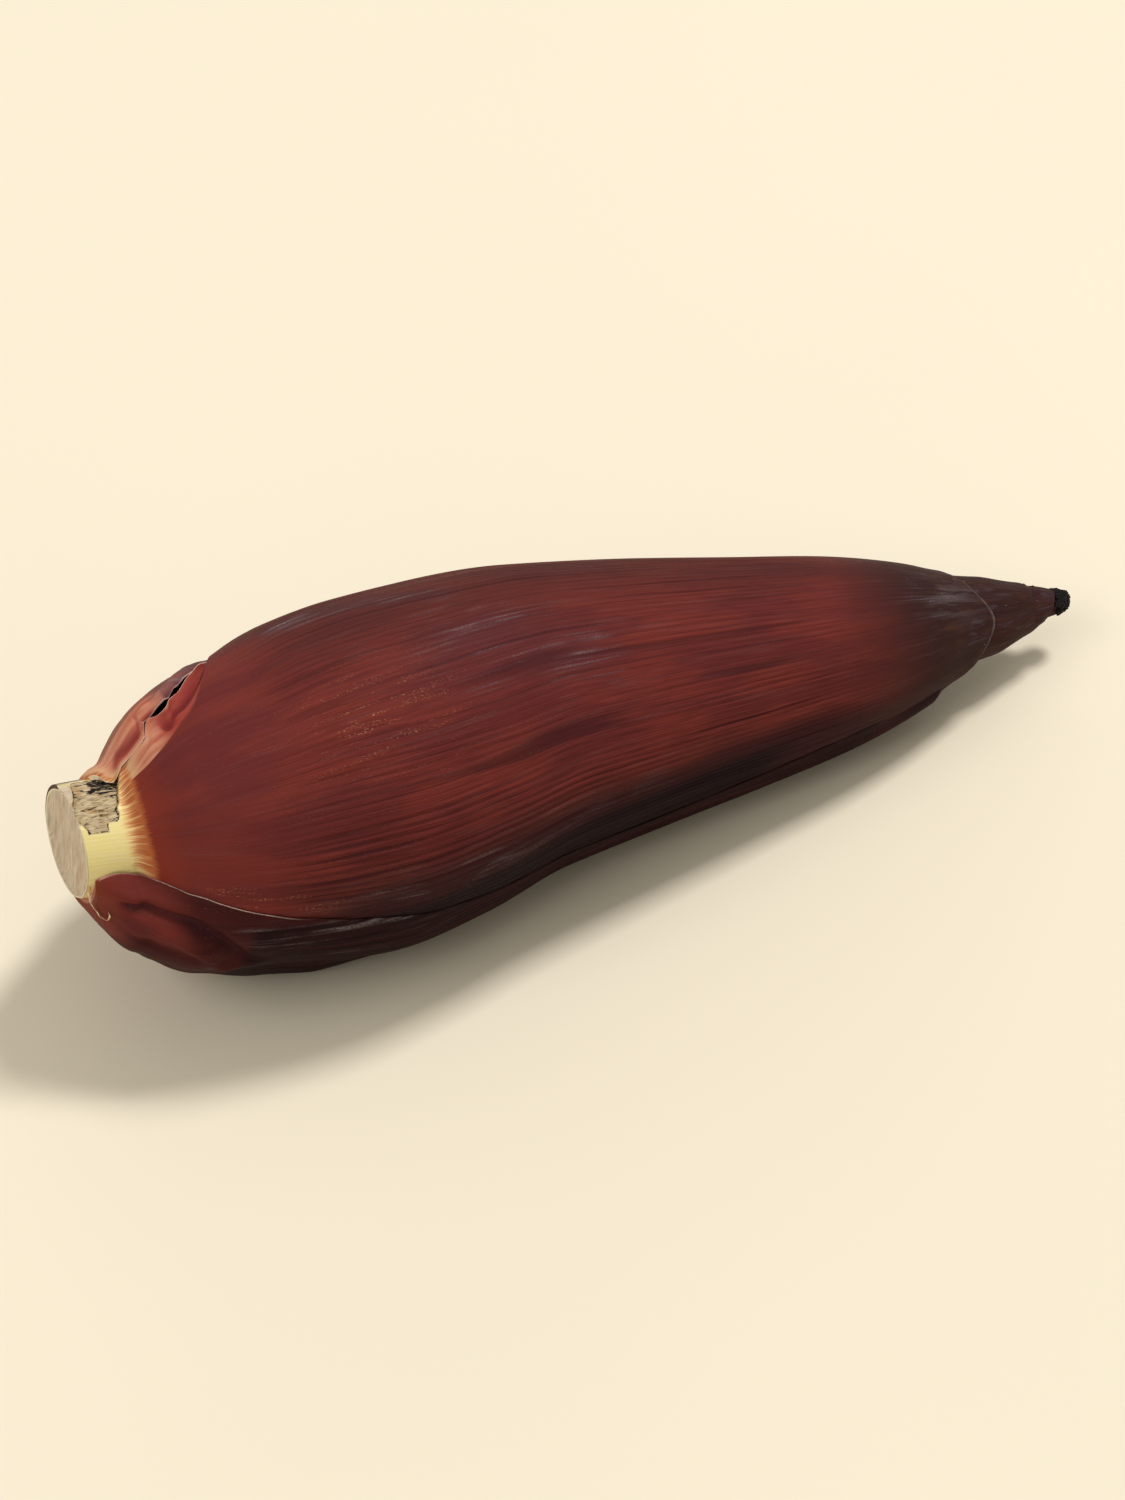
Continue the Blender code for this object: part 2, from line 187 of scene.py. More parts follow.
class Look:
    """A material. Its noise is drawn on the attribute called where, or on the object's own coordinates."""

    def __init__(self, name, where="bud"):
        self.material = bpy.data.materials.new(name)
        self.material.use_nodes = True
        self.tree = self.material.node_tree
        self.where = self.node("TexCoord", {}, where) if where == "Object" else self.vector(where)

    def finish(self, **values):
        """Sets or wires the shader's own sockets."""
        shader = self.tree.nodes["Principled BSDF"]
        for name, value in values.items():
            self.feed(shader.inputs[name.replace("_", " ")], value)
        return self.material

    def feed(self, socket, value):
        if isinstance(value, Wire):
            self.tree.links.new(value.socket, socket)
        elif isinstance(value, tuple) and len(value) == 3 and socket.type == "RGBA":
            socket.default_value = (*value, 1)
        else:
            socket.default_value = value

    def node(self, kind, inputs, *outputs, **settings):
        """A new node's output, or a list of them where more than one is named."""
        made = self.tree.nodes.new("ShaderNode" + kind)
        for name, value in settings.items():
            setattr(made, name, value)
        for key, value in inputs.items():
            self.feed(made.inputs[key], value)
        wires = [Wire(self, made.outputs[key]) for key in outputs]
        return wires if len(wires) > 1 else wires[0]

    def vector(self, name):
        return self.node("Attribute", {}, "Vector", attribute_name=name)

    def sums(self, operation, a, b):
        return self.node("Math", {0: a, 1: b}, 0, operation=operation)

    def scaled(self, vector, scale):
        return self.node("VectorMath", {0: vector, 1: scale}, 0, operation="MULTIPLY")

    def noise(self, scale, detail=3.0, roughness=0.55, where=None):
        """Noise from about 0.25 to 0.75; scale is in hills per unit, one number for each axis."""
        vector = self.scaled(where or self.where, scale)
        inputs = {"Vector": vector, "Scale": 1.0, "Detail": detail, "Roughness": roughness}
        return self.node("TexNoise", inputs, "Fac")

    def cells(self, scale):
        """The distance from the middle of each small cell, and a random number for each cell."""
        inputs = {"Vector": self.scaled(self.where, scale), "Scale": 1.0}
        distance, colour = self.node("TexVoronoi", inputs, "Distance", "Color")
        return distance, colour.parts()[0]

    def mix(self, factor, a, b):
        return self.node("Mix", {0: factor, 6: a, 7: b}, 2, data_type="RGBA")

    def over(self, colour, *coats):
        """A colour with (factor, colour) coats laid over it one by one."""
        for factor, coat in coats:
            colour = self.mix(factor, colour, coat)
        return colour

    def bump(self, height, millimetres, strength):
        inputs = {"Height": height, "Distance": millimetres * MM, "Strength": strength}
        return self.node("Bump", inputs, 0)

    def pale_root(self, colour, base, streak):
        """The colour where base, in mm, is above 0, then orange flames, and smooth yellow below about -4."""
        strand = self.noise((0.11, 0.85, 0), 2)
        border = base + strand.ramp(0.3, 0.7, -0.35, 0.35)
        frayed = base + strand.ramp(0.3, 0.7, 1.3, -1.3)
        flame = self.mix(frayed.ramp(0.2, -3.6), ORANGE, PALE_ORANGE)
        flame = self.mix(strand.ramp(0.52, 0.70, 0, 0.55), flame, PALE_ORANGE)
        yellow = self.mix(streak.ramp(0.35, 0.65, 0.05, 0.35), YELLOW, CREAM)
        return self.over(colour, (border.ramp(1.1, -0.6), flame), (frayed.ramp(-1.6, -5), yellow))


# Colours, as linear red, green and blue.
MAROON = (0.127, 0.0240, 0.0228)
RIB_SHADOW = tuple(0.38 * c for c in MAROON)
BRIGHT_RED = (0.172, 0.0305, 0.0240)
# Painted shade in rib grooves and fold hollows.
HOLLOW_SHADE = (0.036, 0.0100, 0.0120)
PURPLE_GREY = (0.104, 0.038, 0.042)
# Purple where the skin is waxy, which includes painted sheen.
PURPLE = (0.096, 0.0260, 0.0290)
NEAR_BLACK = (0.0125, 0.0050, 0.0060)
# Grey of the wax bloom, which also paints sheen.
WAX_GREY_AND_SHEEN = (0.200, 0.165, 0.175)
# Dark brown of aged skin, also painted as shade.
TIP_AND_SHADE_BROWN = (0.0310, 0.0150, 0.0142)
# Black of dried skin, also painted as shade under the front bract.
TIP_AND_SHADE_BLACK = (0.0130, 0.0070, 0.0085)
RIM = (0.72, 0.50, 0.43)
# Grey of the hood's rim, a pale rim with a painted highlight.
RIM_GREY = (0.135, 0.108, 0.108)
SPECK = (0.50, 0.24, 0.12)
SCRATCH = (0.42, 0.36, 0.33)
YELLOW = (0.80, 0.67, 0.24)
CREAM = (0.84, 0.76, 0.52)
# Brick red of the root, also painted as highlight on fold ridges.
BRICK = (0.250, 0.036, 0.018)
ORANGE = (0.40, 0.115, 0.040)
PALE_ORANGE = (0.66, 0.36, 0.16)
# Painted shade in the hollows of the pink folds.
CRIMSON = (0.250, 0.026, 0.026)
RUDDY = (0.340, 0.048, 0.036)
FLESH = (0.46, 0.125, 0.078)
# Pale flesh, also painted as highlight on fold crests.
PALE_FLESH = (0.68, 0.36, 0.22)
TAN = (0.66, 0.42, 0.23)
# Mauve on waxy flesh, which includes painted sheen.
MAUVE = (0.235, 0.095, 0.100)
AGED_BROWN = (0.066, 0.028, 0.016)
# Grey mottle of aged skin, which also paints sheen.
AGED_GREY_AND_SHEEN = (0.085, 0.062, 0.074)
INNER_RED = (0.34, 0.100, 0.072)
INNER_PALE = (0.46, 0.24, 0.17)
CUT_FIBRE = (0.66, 0.54, 0.40)
CUT_SHADE = (0.50, 0.39, 0.28)
CUT_DARK = (0.36, 0.26, 0.19)
CUT_LIGHT = (0.78, 0.70, 0.58)
CUT_STAIN = (0.56, 0.36, 0.19)
SCAR_FIBRE = (0.66, 0.54, 0.34)
SCAR_SHADE = (0.42, 0.31, 0.17)
SCAR_STAIN = (0.44, 0.27, 0.11)
SCAR_PIT = (0.035, 0.020, 0.011)
CHARRED = (0.012, 0.009, 0.008)
HUSK = (0.060, 0.036, 0.032)
HUSK_PINK = (0.150, 0.070, 0.066)
CRUST_BLACK = (0.0045, 0.0040, 0.0038)
CRUST_BROWN = (0.040, 0.024, 0.017)
IVORY = (0.80, 0.76, 0.60)
DULL_IVORY = (0.66, 0.58, 0.40)
FLORET_WHITE = (0.88, 0.86, 0.76)
FLORET_YELLOW = (0.62, 0.40, 0.08)
FLORET_GREY = (0.12, 0.12, 0.10)
STRAW = (0.80, 0.66, 0.42)
DRY_BROWN = (0.46, 0.22, 0.08)
FLOOR_CREAM = (0.806, 0.735, 0.592)

AGED_FROM, AGED_BY = 238.0, 262.0  # the s between which the skin turns dull and mottled


def skin_look(name, darkness, relief=1.0):
    """Bract skin, from five attributes of three numbers each.

    bud: s, millimetres round the bud, and 1 on the outer side or 0 on the lining.
    marks: millimetres inside the rim, millimetres beyond the pale root, and how pink the skin is.
    tones: how dark it is, partly as painted shade; how waxy, with painted sheen; and how thickly specked.
    feel: how ribbed it looks, how much redder than elsewhere, and how pale its rim is.
    relief: grooves, painted dark as shade, and black above 1 for dried skin and for painted shade under the
    front bract; folds, painted as shade and highlight; and the grey line along the hood's rim, partly a
    painted highlight.
    """
    look = Look(name)
    noise, mix, over = look.noise, look.mix, look.over
    s, _, side = look.where.parts()
    labels = ("marks", "tones", "feel", "relief")
    marks, tones, feel, carved = (look.vector(label).parts() for label in labels)
    (edge, base, blush), (dark, wax_and_sheen, specks) = marks, tones
    (ribbed, red, rim), (groove, fold, hood) = feel, carved
    patch = noise((0.022, 0.07, 0))
    streak = noise((0.024, 0.75, 0), 4, 0.6)
    fibre = noise((0.06, 2.6, 0), 3, 0.6)
    grain = noise((1.3, 2.6, 0), 3, 0.65)
    cloud = noise((0.055, 0.16, 0), 2)
    mottle = noise((0.10, 0.17, 0), 4, 0.6)
    aged = s.ramp(AGED_FROM, AGED_BY)
    lined = (ribbed * 0.82 + 0.18) * aged.ramp(0, 1, 1, 0.35)

    # The base red with its streaks, purple where waxy, brick red near the root, and brick red as painted
    # highlight on fold ridges.
    colour = over(
        mix((patch.ramp(0.36, 0.66) + red).ramp(0, 1), MAROON, BRIGHT_RED),
        (lined * streak.ramp(0.55, 0.76, 0, 0.5), PURPLE_GREY),
        (lined * streak.ramp(0.44, 0.30, 0, 0.28), RIB_SHADOW),
        (lined * fibre.ramp(0.38, 0.60, 0.42, 0), RIB_SHADOW),
        (wax_and_sheen.ramp(0.15, 0.8, 0, 0.75), PURPLE),
        (base.ramp(8, 0, 0, 0.55), BRICK),
        (fold.ramp(0.5, 1.8, 0, 0.22), BRICK),
    )
    # The pink flesh where the skin is folded in near the root, pale on the folds' crests as painted
    # highlight, crimson in their hollows as painted shade, and mauve where waxy, with painted sheen.
    flesh = over(
        mix((cloud * 0.6 + streak * 0.4).ramp(0.36, 0.66, 0, 0.8), FLESH, PALE_FLESH),
        (red.ramp(0, 1, 0, 0.9), RUDDY),
        (fold.ramp(0.25, 0.9, 0, 0.5), PALE_FLESH),
        (fold.ramp(-0.1, -1.2, 0, 0.9), CRIMSON),
        (base.ramp(3.8, 0.5, 0, 0.8), TAN),
        (wax_and_sheen.ramp(0.15, 0.9, 0, 0.75), MAUVE),
    )
    # Grey wax bloom with painted sheen, in streaks on fresh skin and even where it is aged.
    bloom_and_sheen = streak.ramp(0.47, 0.66) * grain.ramp(0.40, 0.62, 0.2, 1) * aged.ramp(0, 1, 1, 0.25)
    bloom_and_sheen = bloom_and_sheen + aged * grain.ramp(0.30, 0.70, 0.12, 0.50)
    # Short pale scratches, and rows of specks.
    wrung = grain + noise((0.5, 0.9, 0), 2) * 1.2
    distance, chance = look.cells((0.22, 0.40, 0))
    scratch = (distance + wrung * 0.12).ramp(0.24, 0.18) * chance.ramp(0.70, 0.76)
    dots = noise((1.2, 4.6, 0), 2, 0.6).ramp(0.57, 0.66)
    rows = noise((0.05, 0.60, 0), 2, 0.6).ramp(0.52, 0.62)
    lining = over(
        mix(fibre.ramp(0.38, 0.62), INNER_RED, INNER_PALE),
        (streak.ramp(0.35, 0.65, 0, 0.5), INNER_RED),
        (dark * edge.ramp(6, 2), darkness),
    )
    # Over it: flesh, darkness that is partly painted shade, painted shade in grooves and fold hollows, bloom
    # with painted sheen, aged mottle, black, specks and the lining.
    colour = over(
        colour,
        (blush * fibre.ramp(0.3, 0.7, 1, 0.85), flesh),
        (dark * streak.ramp(0.3, 0.7, 1, 0.90), darkness),
        (groove.ramp(0, 1, 0, 0.80), HOLLOW_SHADE),
        (fold.ramp(-0.3, -2.4, 0, 0.82), HOLLOW_SHADE),
        (bloom_and_sheen * wax_and_sheen * cloud.ramp(0.42, 0.62, 0.08, 1), WAX_GREY_AND_SHEEN),
        (aged * mottle.ramp(0.53, 0.66, 0, 0.65), AGED_BROWN),
        (aged * mottle.ramp(0.46, 0.34, 0, 0.45), AGED_GREY_AND_SHEEN),
        (aged * scratch * 0.7, SCRATCH),
        (groove.ramp(1.1, 1.7), TIP_AND_SHADE_BLACK),
        (dots * rows * specks, SPECK),
        (side.ramp(0.6, 0.4), lining),
    )
    ragged = edge + grain.ramp(0.3, 0.7, -0.05, 0.05)
    pale = ragged.ramp(0.17, 0.03, 0, 0.85) * cloud.ramp(0.36, 0.6, 0.35, 1)
    # The pale root, the pale rim, and the hood's grey rim line, which is partly a painted highlight.
    colour = over(
        look.pale_root(colour, base, streak),
        (pale * rim, mix(base.ramp(2, -1), RIM, CREAM)),
        (hood * mottle.ramp(0.35, 0.60, 0.25, 1) * ragged.ramp(1.4, 0.1), RIM_GREY),
    )
    rough = streak.ramp(0.3, 0.7, 0.42, 0.54) + grain.ramp(0.3, 0.7, -0.05, 0.09)
    rough = rough + wax_and_sheen * grain.ramp(0.35, 0.65, -0.05, 0.10)
    height = (streak * 0.55 + fibre * 0.30) * (ribbed * 0.85 + 0.15) + grain * 0.08
    normal = look.bump(height, 0.9 * relief, 0.6)
    return look.finish(Base_Color=colour, Roughness=rough, Normal=normal, Specular_IOR_Level=0.02)


def stalk_look():
    """Rind, cut face and scar of the stalk, from three attributes of three numbers each.

    bud: s, millimetres round the stalk, and millimetres beyond the pale root.
    marks: 1 on the cut face, 1 on the scar or more where it is charred, and millimetres inside the cut
    face's rim.
    face: the place across and up the cut face, and how much of the rind is dark husk.
    """
    look = Look("stalk_rind_and_cut")
    noise = look.noise
    _, _, base = look.where.parts()
    cut, scar, rim = look.vector("marks").parts()
    face = look.vector("face")
    _, _, husked = face.parts()
    streak = noise((0.030, 0.55, 0), 4, 0.6)
    husk = look.mix(streak.ramp(0.4, 0.6), HUSK, HUSK_PINK)

    grain = noise((1.9, 0.16, 0), 4, 0.6, face)
    blotch = noise((0.16, 0.10, 0), where=face)
    coarse = noise((0.62, 0.07, 0), where=face)
    wood = look.over(
        look.mix(grain.ramp(0.34, 0.60), CUT_SHADE, CUT_FIBRE),
        (coarse.ramp(0.44, 0.33, 0, 0.55), CUT_DARK),
        (coarse.ramp(0.56, 0.66, 0, 0.6), CUT_LIGHT),
        (blotch.ramp(0.54, 0.68, 0, 0.55), CUT_STAIN),
        (rim.ramp(0.40, 0.10), CREAM),
        (rim.ramp(-0.05, -0.25), husk),
    )
    threads = noise((0.25, 0.85, 0), 4, 0.6)
    pits = noise((0.36, 0.62, 0), 4, 0.62)
    stain = noise((0.14, 0.11, 0), 3, 0.6)
    fibre = look.over(
        look.mix(threads.ramp(0.36, 0.60), SCAR_SHADE, SCAR_FIBRE),
        (stain.ramp(0.50, 0.62, 0, 0.7), SCAR_STAIN),
        (pits.ramp(0.53, 0.58) * stain.ramp(0.44, 0.54), SCAR_PIT),
    )
    burnt = scar + pits.ramp(0.35, 0.60, -0.22, 0.22)
    colour = look.over(
        look.pale_root(YELLOW, base, streak),
        (husked, husk),
        (scar.ramp(0.35, 0.65), fibre),
        (burnt.ramp(1.26, 1.42), CHARRED),
        (cut, wood),
    )
    height = threads * scar.ramp(0.3, 0.7) + grain * cut + coarse * cut * 0.8 + streak * 0.2
    rough = streak.ramp(0.3, 0.7, 0.38, 0.5) + look.sums("MAXIMUM", cut, scar) * 0.3
    normal = look.bump(height, 1.2, 0.6)
    return look.finish(
        Base_Color=colour, Roughness=rough, Normal=normal, Coat_Weight=0.04, Specular_IOR_Level=0.3,
    )  # fmt: skip


def charred_look():
    look = Look("dried_black_tip", "Object")
    crust = look.noise((900, 1600, 1600), 4, 0.7)
    colour = look.mix(crust.ramp(0.56, 0.74), CRUST_BLACK, CRUST_BROWN)
    rough = crust.ramp(0.3, 0.7, 0.50, 0.85)
    normal = look.bump(crust, 1.0, 0.9)
    return look.finish(Base_Color=colour, Roughness=rough, Normal=normal, Specular_IOR_Level=0.22)


def floret_look():
    """A floret: white at its base, an ivory tube, a yellow tip. bud is its share of length and its turn."""
    look = Look("floret_flesh")
    share, _, _ = look.where.parts()
    line = look.noise((1.5, 2.2, 0))
    dusk = share.ramp(0.72, 0.86) * share.ramp(0.98, 0.88)
    colour = look.over(
        look.mix(line.ramp(0.35, 0.65), IVORY, DULL_IVORY),
        (share.ramp(0.30, 0.12), FLORET_WHITE),
        (share.ramp(0.80, 0.96), FLORET_YELLOW),
        (dusk * line.ramp(0.5, 0.65, 0, 0.6), FLORET_GREY),
    )
    rough = line.ramp(0.3, 0.7, 0.28, 0.42)
    normal = look.bump(line, 0.5, 0.4)
    return look.finish(
        Base_Color=colour, Roughness=rough, Normal=normal, Coat_Weight=0.2, Subsurface_Weight=0.12,
        Subsurface_Scale=0.002,
    )  # fmt: skip


def strip_look():
    look = Look("torn_bract_fibre", "Object")
    line = look.noise((300, 300, 300), 4, 0.6)
    colour = look.mix(line.ramp(0.4, 0.62), STRAW, DRY_BROWN)
    rough = line.ramp(0.3, 0.7, 0.5, 0.7)
    normal = look.bump(line, 0.4, 0.6)
    return look.finish(Base_Color=colour, Roughness=rough, Normal=normal, Sheen_Weight=0.05)


# Meshes.


def placed(name, data):
    made = bpy.data.objects.new(name, data)
    bpy.context.scene.collection.objects.link(made)
    return made


def add_piece(name, points, faces, look, slot, attributes=None, sharp=50.0):
    """A mesh object that rides on the bud, with one vector per point for each attribute."""
    mesh = bpy.data.meshes.new(name)
    mesh.from_pydata(points.tolist(), [], faces)
    for label, values in (attributes or {}).items():
        layer = mesh.attributes.new(label, "FLOAT_VECTOR", "POINT")
        layer.data.foreach_set("vector", np.ascontiguousarray(values, np.float32).ravel())
    mesh.materials.append(look)
    mesh.shade_smooth()
    mesh.set_sharp_from_angle(angle=math.radians(sharp))
    made = placed(name, mesh)
    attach(made, BODY)
    return made


def spread(*parts):
    """Positions along a line, from (start, end, steps) parts that follow each other."""
    runs = [np.linspace(start, end, steps + 1)[:-1] for start, end, steps in parts]
    return np.concatenate([*runs, [parts[-1][1]]])


def vectors(grid, *parts):
    """One vector for each point of a grid, from arrays or numbers that fit its shape."""
    return np.stack([part + 0 * grid for part in parts], axis=-1).reshape(-1, 3)


def grid_faces(rows, columns, first=0, flip=False):
    i, j = np.meshgrid(np.arange(rows - 1), np.arange(columns - 1), indexing="ij")
    a = (first + i * columns + j).ravel()
    corners = [a, a + columns, a + columns + 1, a + 1]
    return np.stack(corners[::-1] if flip else corners, axis=1).tolist()


def every(count, step):
    """Every step-th index, with the last one."""
    return np.unique(np.append(np.arange(0, count, step), count - 1))


def sheet_faces(rows, columns, row_pick, column_pick):
    """A closed sheet: a fine outer grid, a coarse inner grid on the picked lines, and the rim between."""
    faces = grid_faces(rows, columns)
    inner = rows * columns
    high, wide = len(row_pick), len(column_pick)
    faces += grid_faces(high, wide, inner, flip=True)

    def rim(outer_line, inner_line, picks, flip):
        for k in range(len(picks) - 1):
            face = [*outer_line[picks[k] : picks[k + 1] + 1], inner_line[k + 1], inner_line[k]]
            faces.append([int(v) for v in (face[::-1] if flip else face)])

    outer_grid = np.arange(inner).reshape(rows, columns)
    inner_grid = inner + np.arange(high * wide).reshape(high, wide)
    rim(outer_grid[0], inner_grid[0], column_pick, flip=True)
    rim(outer_grid[-1], inner_grid[-1], column_pick, flip=False)
    rim(outer_grid[:, 0], inner_grid[:, 0], row_pick, flip=False)
    rim(outer_grid[:, -1], inner_grid[:, -1], row_pick, flip=True)
    return faces


def ring_faces(rings, sides, first=0):
    """Quads round a body of rings, without its ends."""
    i, j = np.meshgrid(np.arange(rings - 1), np.arange(sides), indexing="ij")
    a, b = first + i * sides + j, first + i * sides + (j + 1) % sides
    return np.stack([a, a + sides, b + sides, b], axis=-1).reshape(-1, 4).tolist()


def capped_faces(rings, sides):
    """A body of rings with its ends closed on two points, which come after the rings' points."""
    faces = ring_faces(rings, sides)
    start, last = rings * sides, (rings - 1) * sides
    for j in range(sides):
        k = (j + 1) % sides
        faces += [[start, j, k], [start + 1, last + k, last + j]]
    return faces


def joined(pieces):
    """Pieces, as points and faces, put together as one mesh."""
    points, faces, count = [], [], 0
    for some_points, some_faces in pieces:
        points.append(some_points)
        faces += [[count + v for v in face] for face in some_faces]
        count += len(some_points)
    return np.concatenate(points), faces


# Bracts. Each is one leathery sheet: a fine outer skin, a lining, and a thin pale rim.

EDGE_LINES = 1 - np.array([0.0007, 0.002, 0.004, 0.007])  # extra columns close to each long edge
LINING_ROW_STEP, LINING_COLUMN_STEP = 2, 4  # the lining takes every second row and fourth column
EDGE_THICKNESS = 0.36
EDGE_ROUNDING = 0.22
EDGE_TAPER = 9.0  # mm inside the rim where a bract reaches its full thickness
LOWEST_SKIN, LOWEST_LINING = 0.05, 1.6  # mm above the floor, where the bud lies on it
POINT_LENGTH, POINT_HALF_ANGLE = 20.0, 34.0  # of the point that a bract ends in
RIB_TURN = 2.7  # degrees from one rib to the next
RIB_DEPTH = 0.21  # how far the middle of the ribs lies below the sheet
ACROSS_PER_DEGREE = 0.7  # mm round the bud that a degree of phi stands for in the materials
NO_EDGE, NO_BASE = 9, 99  # mm that stand for far from the rim, and far from the pale root


def ribs(s, phi, seed):
    """The lengthwise ribs of the skin in mm, never above 0, and the grooves between them from 0 to 1, which
    the skin paints dark as shade.
    """
    turn = phi + 1.6 * wander(s / 55, phi / 24, seed + 1) + 0.3 * wander(s / 17, phi / 7, seed + 2)
    wave = np.cos(2 * np.pi * turn / RIB_TURN)
    strong = 0.55 + 0.45 * wander(s / 45, turn / 5, seed + 3)
    fine = wander(s / 40, turn / 1.3, seed + 4)
    groove = 0.7 * ease((wander(s / 60, turn / 1.9, seed + 5) - 0.40) / 0.40)
    between = ease((-0.35 - wave) / 0.6) * (0.25 + 0.75 * strong)
    height = 0.13 * (wave * strong) + 0.07 * fine - 0.22 * groove - RIB_DEPTH
    return height, np.maximum(groove, 0.75 * between)


class Bract:
    """Half-angles by s on each side of the middle, as in the CAD source, with finer rims.

    u runs from -1 to 1 across the bract. The methods below say what the sheet does at s, u and phi. The
    numbers in them that go with s are millimetres along the bud, and those with phi are degrees round it.
    """

    rim_step = 0.26  # how far the rim at the tip stands above the bract under it

    def __init__(self, middle, layer, base, tip, below, above, hood):
        self.middle, self.base, self.tip, self.hood = middle, base, tip, hood
        self.layer = curve_through(layer)
        self.below, self.above = curve_through(below), curve_through(above)

    def growth(self, s):
        """The share of its layer's radius that the bract has reached."""
        return 1.0

    def turn_at(self, s, u):
        """phi of the grid's columns."""
        return self.middle + u * np.where(u < 0, self.below(s), self.above(s))

    def folds(self, s, phi):
        """Folds and hollows of the sheet in mm, which the skin's colour follows too, as painted shade in
        hollows and painted highlight on crests.
        """
        return 0 * phi

    def fold_light_and_shade(self, folds):
        """How the colour paints the folds' light: below 0 is painted shade, above 0 painted highlight."""
        return folds

    def dry_patch_and_shade(self, s, phi):
        """Dark skin, which turns black between 0.55 and 0.85: dried near the tip, and painted shade under the
        front bract.
        """
        return 0.0

    def hood_line(self, s):
        """How strongly a grey line marks the rim of the hood."""
        return 0.0

    def lift(self, s, u, phi):
        """How far the sheet swells from its layer, without its folds."""
        return 0.0

    def carve(self, s, phi, body):
        """The sheet's radius, with what is cut out of it."""
        return body

    def rib_strength(self, s, phi):
        return 0.5

    def marks(self, s, u, phi):
        """How far s is beyond the pale base, and how pink the skin is."""
        return NO_BASE, 0.0

    def tones(self, s, u, phi):
        """Darkness, partly painted shade; wax with painted sheen; and specks."""
        return 0.0, 0.3, 0.0

    def feel(self, s, u, phi):
        """Ribs, extra red, and how pale the rim is."""
        return 0.5, 0.0, 0.3

    def settle(self, s, u):
        """How far the rim comes down towards the bract it lies on."""
        return 0.0

    def build(self, name, node, stations, columns, look, slot):
        across = np.unique(np.concatenate([np.linspace(-1, 1, columns), EDGE_LINES, -EDGE_LINES]))
        s = stations[:, None]
        u = across[None, :] + 0 * s
        half = np.where(u < 0, self.below(s), self.above(s))
        point = self.hood * (1 - np.exp(-((u * half / POINT_HALF_ANGLE) ** 2))) + 2 * (u * half / 90) ** 2
        s = s - point * np.clip((s - self.tip + POINT_LENGTH) / POINT_LENGTH, 0, 1) ** 2
        phi = self.turn_at(s, u)
        rows, width = s.shape

        folds = self.folds(s, phi)
        body = layer_radius(s, self.layer(s)) * self.growth(s) + self.lift(s, u, phi)
        body = body + folds - self.settle(s, u)
        to_edge = np.where(u < 0, phi - self.middle + half, self.middle + half - phi)
        edge = np.minimum(to_edge * body * np.pi / 180, (self.tip - stations)[:, None] + 0 * u)
        # Towards the tip the rim comes down on the bract under it.
        sink = np.maximum(pitch(s) - self.rim_step, 0) * rise(s, 225, 20)
        body = self.carve(s, phi, body - sink * (1 - ease(edge / 6)))
        # The ribs fade towards the root and the rim, and at the root the lining meets the stalk.
        root = rise(s, self.base, 6)
        ribbing, groove = ribs(s, phi, self.middle)
        strength = self.rib_strength(s, phi) * root * ease(edge / 5)
        outer = body + ribbing * strength - EDGE_ROUNDING * (1 - ease(edge / 0.8))
        full = np.maximum(pitch(s) - SKIN_GAP, EDGE_THICKNESS)
        thickness = EDGE_THICKNESS + (full - EDGE_THICKNESS) * ease(edge / EDGE_TAPER)
        inner = np.minimum(body - thickness, outer - 0.8 * EDGE_THICKNESS)
        inner = inner * root + np.minimum(stalk_radius(s) - 0.3, outer - 0.2) * (1 - root)

        row_pick, column_pick = every(rows, LINING_ROW_STEP), every(width, LINING_COLUMN_STEP)
        pick = np.ix_(row_pick, column_pick)
        skins = [place(s, phi, outer), place(s, phi, inner)[pick]]
        for skin, lowest in zip(skins, (LOWEST_SKIN, LOWEST_LINING)):
            skin[..., 2] = np.maximum(skin[..., 2], lowest * MM)

        def both(*parts):
            """Vectors for the points of the outer skin and then of the lining."""
            outside = np.stack([part + 0 * u for part in parts], axis=-1)
            return np.concatenate([outside.reshape(-1, 3), outside[pick].reshape(-1, 3)])

        bud = both(s, phi * ACROSS_PER_DEGREE, 1.0)
        bud[rows * width :, 2] = 0.0
        edge_mark = np.where(s < self.base + 0.01, NO_EDGE, edge)  # the root has no pale rim
        # Grooves colour the skin dark as painted shade, and dark patches above 1 paint it black.
        grooves = np.maximum(groove * np.minimum(strength, 1), 2 * self.dry_patch_and_shade(s, phi))
        attributes = {
            "bud": bud,
            "marks": both(edge_mark, *self.marks(s, u, phi)),
            "tones": both(*self.tones(s, u, phi)),
            "feel": both(*self.feel(s, u, phi)),
            "relief": both(grooves, self.fold_light_and_shade(folds), self.hood_line(s)),
        }
        points = np.concatenate([skin.reshape(-1, 3) for skin in skins])
        faces = sheet_faces(rows, width, row_pick, column_pick)
        made = add_piece(name, points, faces, look, slot, attributes)
        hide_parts(node)
        return made


UNDER_MIDDLE, FRONT_MIDDLE, BACK_MIDDLE, LOW_MIDDLE, TOP_MIDDLE = 260.0, 40.0, 180.0, 320.0, 100.0
FLARE = [
    (2, 0.4), (4, 3.4), (6.5, 7.2), (12.5, 13.4), (21, 9), (35, 2.6), (50, 0.8), (63, 1.0), (80, 1.4),
    (97, 1.1), (115, 0.5), (132, 0),
]  # fmt: skip
POUCH = [
    (14, 0), (24, 1.8), (35, 4.0), (46, 5.7), (60, 5.7), (68, 4.6), (80, 1.8), (97, 1.1), (112, 2.0),
    (132, 2.5), (152, 2.1), (172, 1.9), (200, 1.5), (225, 0.8), (248, 0),
]  # fmt: skip
flare, pouch = curve_through(FLARE), curve_through(POUCH)
POUCH_HALF_ANGLE = 54.0

